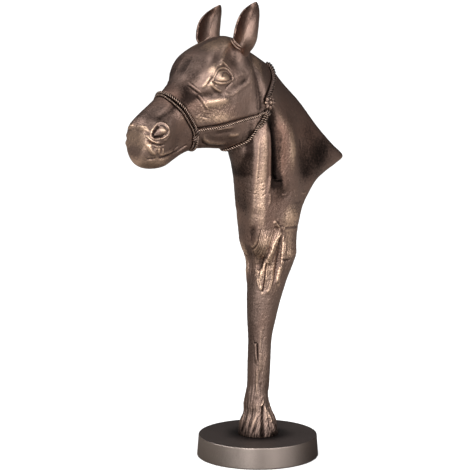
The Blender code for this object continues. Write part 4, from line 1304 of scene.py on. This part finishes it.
# Rosette: its outline and height wave with the petals, a ring is sunk round a domed middle, and
# the back is closed within the casting
def rosetteMesh(name, made, side):
    spot, normal = onSurface(made["place"], side)
    across = unitLength(np.cross(normal, (0, 0, 1)))
    turn = turnsRound(made["around"])
    share = np.linspace(made["firstRing"], 1, made["rings"])[:, None]
    back = np.linspace(1, made["lastRing"], made["backRings"])[1:, None]
    domeWidth, domeHeight, domeWearWidth, domeWear = made["dome"]
    ringPlace, ringWidth, ringDepth, ringWearWidth, ringWear = made["sunkRing"]
    petal = np.cos(made["petals"] * turn) * share
    reach = made["radius"] * share * (1 + made["petalReach"] * petal)
    form = np.sqrt(1 - made["doming"] * share**2) * (1 + made["petalHeight"] * (petal - 1))
    form = form + domeHeight * bell(share, domeWidth) - ringDepth * bell(share - ringPlace, ringWidth)
    height = made["height"] * form + made["raise"]
    reach = np.vstack([reach, reach[-1:] * back])
    height = np.vstack([height, height[-1:] - made["raise"] - made["sink"] + 0 * back])
    form = np.stack([reach * np.cos(turn), reach * np.sin(turn), height], axis=-1)
    grid = spot + form @ np.array([across, np.cross(across, normal), normal])
    middle = np.vstack([share, back])
    level, swing = made["wear_and_shading"]
    wear_and_shading = level + swing * np.vstack([petal, 0 * back * turn]) + domeWear * bell(middle, domeWearWidth)
    wear_and_shading = wear_and_shading - ringWear * bell(middle - ringPlace, ringWearWidth)
    return meshOfRings(name, placed(grid), {"wear_and_shading": np.clip(wear_and_shading, 0, 1)})


for label, side in bothSides.items():
    addPiece(rosetteMesh("rosette_" + label, rosette, side), bronzes["figure"])

# Folds of hide across the front of each ear's root, as smooth rolls: thickness, and guide points
# on the left
earFolds = {
    "upper": (4.4, ((51, -77, 661), (47, -80, 663.5), (41, -81.5, 667.5), (35, -80.5, 672),
                    (29, -77, 677))),
    "lower": (3.8, ((48, -77.5, 656.5), (43, -81, 660.5), (37, -82.5, 665.5), (30, -81.5, 671),
                    (24, -78, 676))),
}
foldDrawing = {"sides": 16, "samples": 50, "wear_and_shading": (0.25, 0.3), "endSize": 0.25, "fullness": 0.6}


# A roll: a round section swept along the curve, its radius falling off towards both ends
def foldMesh(name, made, fold, side):
    thickness, guide = fold
    guide = np.array(guide, float) * (side, 1, 1)
    share = np.linspace(0, 1, made["samples"])
    middle = spline(guide, share * (len(guide) - 1))
    circle = turnsRound(made["sides"])
    along = travel(middle, False)
    up = unitLength(np.cross(along, np.cross((0, -1, 0), along)))
    swell = np.sin(share * math.pi) ** made["fullness"]
    radius = thickness / 2 * (made["endSize"] + (1 - made["endSize"]) * swell)[:, None, None]
    grid = sweptTube(middle, up, np.cross(along, up), radius, circle)
    level, top = made["wear_and_shading"]
    wear_and_shading = np.broadcast_to(level + top * np.maximum(np.cos(circle), 0), grid.shape[:2])
    return joinedTubes(name, [(grid, wear_and_shading)], False)


for foldName, fold in earFolds.items():
    for label, side in bothSides.items():
        addPiece(foldMesh("ear_fold_" + foldName + "_" + label, foldDrawing, fold, side), bronzes["figure"])


# Round base, in metres, and the painted highlight and painted shade that make it brighter and duller
base = {
    "bottomRadius": (baseHigh[0] - baseLow[0]) / 2,
    "topRadius": 0.10125,
    "edge": 0.0012,            # radius of its two rounded edges
    "around": 256,
    "innermost": 0.002,        # radius of the first and last ring
    "rings": {"under": 12, "edge": 6, "side": 22, "top": 40},
    # The side carries a painted highlight, brightest at this angle, counted from the nose, and dullest
    # opposite: its wear value half-way between, and how much it goes up and down
    "highlightAt": -10,
    "sidePaintedHighlight": (0.24, 0.62),
    # The top: its wear value at the rim, how much painted shade takes off round the foot, and how far that
    # reaches
    "topPaintedShade": (0.5, 0.75, 0.058),
}


# Turned profile (radius, height) from the middle of the underside to the middle of the top: flat,
# with a quarter of a circle at both edges and a straight slanting side
def baseProfile(made):
    top, edge, first, rings = baseHigh[2], made["edge"], made["innermost"], made["rings"]
    below, above = made["bottomRadius"] - edge, made["topRadius"] - edge
    bend = np.linspace(0, math.pi / 2, rings["edge"])
    lowEdge = np.stack([below + edge * np.sin(bend), edge - edge * np.cos(bend)], axis=-1)
    topEdge = np.stack([above + edge * np.cos(bend), top - edge + edge * np.sin(bend)], axis=-1)
    under = np.linspace((first, 0), (below, 0), rings["under"])[:-1]
    side = np.linspace(lowEdge[-1], topEdge[0], rings["side"])[1:-1]
    flat = np.linspace((above, top), (first, top), rings["top"])[1:]
    return np.vstack([under, lowEdge, side, topEdge, flat])


# The base: its profile turned about the axis, x and y being the radius times cosine and sine, with a
# painted highlight that swings round the side and painted shade that darkens the top towards the foot
def baseMesh(name, made):
    radius, height = (column[:, None] for column in baseProfile(made).T)
    turn = turnsRound(made["around"])
    grid = np.stack([radius * np.cos(turn), radius * np.sin(turn), height + 0 * turn], axis=-1)
    level, swing = made["sidePaintedHighlight"]
    wear_and_shading = level + swing * np.cos(turn + math.radians(90 - made["highlightAt"])) + 0 * radius
    rim, less, reach = made["topPaintedShade"]
    wear_and_shading = np.where(height > baseHigh[2] - 1e-6, rim - less * np.exp(-((radius / reach) ** 4)), wear_and_shading)
    return meshOfRings(name, grid, {"wear_and_shading": wear_and_shading}, ((0, 0, height[0, 0]), (0, 0, height[-1, 0])))


metalBase = baseMesh("round_base_metal", base)
addPiece(metalBase, bronzes["baseSide"], "round_base")
metalBase.materials.append(bronzes["baseTop"])
x, y, z = np.array([polygon.center for polygon in metalBase.polygons]).T
onTop = (z > baseHigh[2] - 1e-5) & (np.hypot(x, y) < base["topRadius"] - base["edge"] * 0.5)
metalBase.polygons.foreach_set("material_index", onTop.astype(np.int32))
print("base made")


# Studio: a pale floor, a soft world, and large soft lights round the camera's side, all aimed at
# one place. Angles are counted from the nose towards the horse's left, lengths in metres
studio = {
    "floorColour": (0.88, 0.88, 0.88, 1),
    # Painted shadow: the floor that the metal sees beside the base is darker, as if shaded by the figure
    "floorShadowNear": (0.06, 0.055, 0.05, 1),     # what the metal sees of the floor beside the base
    "floorFar": (0.24, 0.225, 0.21, 1),      # and farther off
    "floorBlend": (0.3, 0.9),                # from the base's axis
    "floorReach": 40,
    "worldDirect": 1.3,
    "worldReflected": (0.06, 0.055, 0.055, 1),
    "aim": (0, -0.06, 0.5),
    "lights": {                              # angle, distance, height, size and power
        "key": (36, 2.6, 0.95, (0.8, 1.3), 26),
        "side": (78, 2.6, 0.95, (0.8, 1.3), 24),
        "rear": (110, 2.6, 0.95, (0.9, 1.2), 16),
        "front": (5, 2.6, 0.95, (0.9, 1.2), 9),
        "top": (50, 0.7, 3.0, (1.4, 1.4), 15),
        "far": (-40, 2.0, 2.1, (1.2, 1.2), 16),
    },
}


# A floor or sky that camera and diffuse rays see bright and mirror rays see dull, so that the
# background stays white while the metal reflects a dim room
def splitShader(tree, bright, dull, output):
    rays = addNode(tree, "LightPath", {})
    blend = addNode(tree, "MixShader", {"Fac": rays.outputs["Is Glossy Ray"], 1: bright, 2: dull})
    tree.links.new(blend.outputs["Shader"], tree.nodes[output].inputs["Surface"])


# A place at a distance from the base's axis, counted round from the nose, and a height
def roundFrom(angle, distance, height):
    return distance * math.sin(math.radians(angle)), -distance * math.cos(math.radians(angle)), height


def addFloor(made):
    mesh = bpy.data.meshes.new("studio_floor")
    far = made["floorReach"]
    mesh.from_pydata([(-far, -far, 0), (far, -far, 0), (far, far, 0), (-far, far, 0)], [], [(0, 1, 2, 3)])
    pale = bpy.data.materials.new("paleFloor")
    pale.use_nodes = True
    tree = pale.node_tree
    tree.nodes.remove(tree.nodes["Principled BSDF"])
    reach = addNode(tree, "VectorMath", {0: addNode(tree, "TexCoord", {}).outputs["Object"]})
    reach.operation = "LENGTH"
    share = smoothBetween(tree, reach.outputs["Value"], *made["floorBlend"])
    # Painted shadow: the floor that mirror rays see is darker near the base
    reflected = colourMix(tree, share, made["floorShadowNear"], made["floorFar"])
    bright, dull = (addNode(tree, "BsdfDiffuse", {"Color": colour}).outputs["BSDF"]
                    for colour in (made["floorColour"], reflected))
    splitShader(tree, bright, dull, "Material Output")
    mesh.materials.append(pale)
    floor = addObject("studio_floor", mesh)


def addWorld(made):
    world = bpy.data.worlds.new("studio_world")
    bpy.context.scene.world = world
    world.use_nodes = True
    tree = world.node_tree
    bright = tree.nodes["Background"]
    setInputs(tree, bright, {"Color": (1, 1, 1, 1), "Strength": made["worldDirect"]})
    dull = addNode(tree, "Background", {"Color": made["worldReflected"]})
    splitShader(tree, bright.outputs["Background"], dull.outputs["Background"], "World Output")


def addLights(made):
    for name, (angle, distance, height, size, power) in made["lights"].items():
        data = bpy.data.lights.new(name + "_light", "AREA")
        data.shape = "RECTANGLE"
        data.size, data.size_y = size
        data.energy = power
        lamp = addObject(name + "_light", data)
        lamp.location = roundFrom(angle, distance, height)
        lamp.rotation_euler = (Vector(made["aim"]) - lamp.location).to_track_quat("-Z", "Y").to_euler()


def addCamera(made):
    data = bpy.data.cameras.new("camera")
    data.sensor_width = made["sensor"]
    data.lens = made["lens"]
    camera = addObject("camera", data)
    camera.location = roundFrom(made["azimuth"], made["distance"], made["height"])
    tilt, heading = 90 - made["pitch"], made["azimuth"] + made["turn"]
    camera.rotation_euler = (math.radians(tilt), 0, math.radians(heading))
    bpy.context.scene.camera = camera


addFloor(studio)
addWorld(studio)
addLights(studio)
addCamera(cameraView)
bpy.context.scene.view_settings.view_transform = "Standard"
print("studio ready")
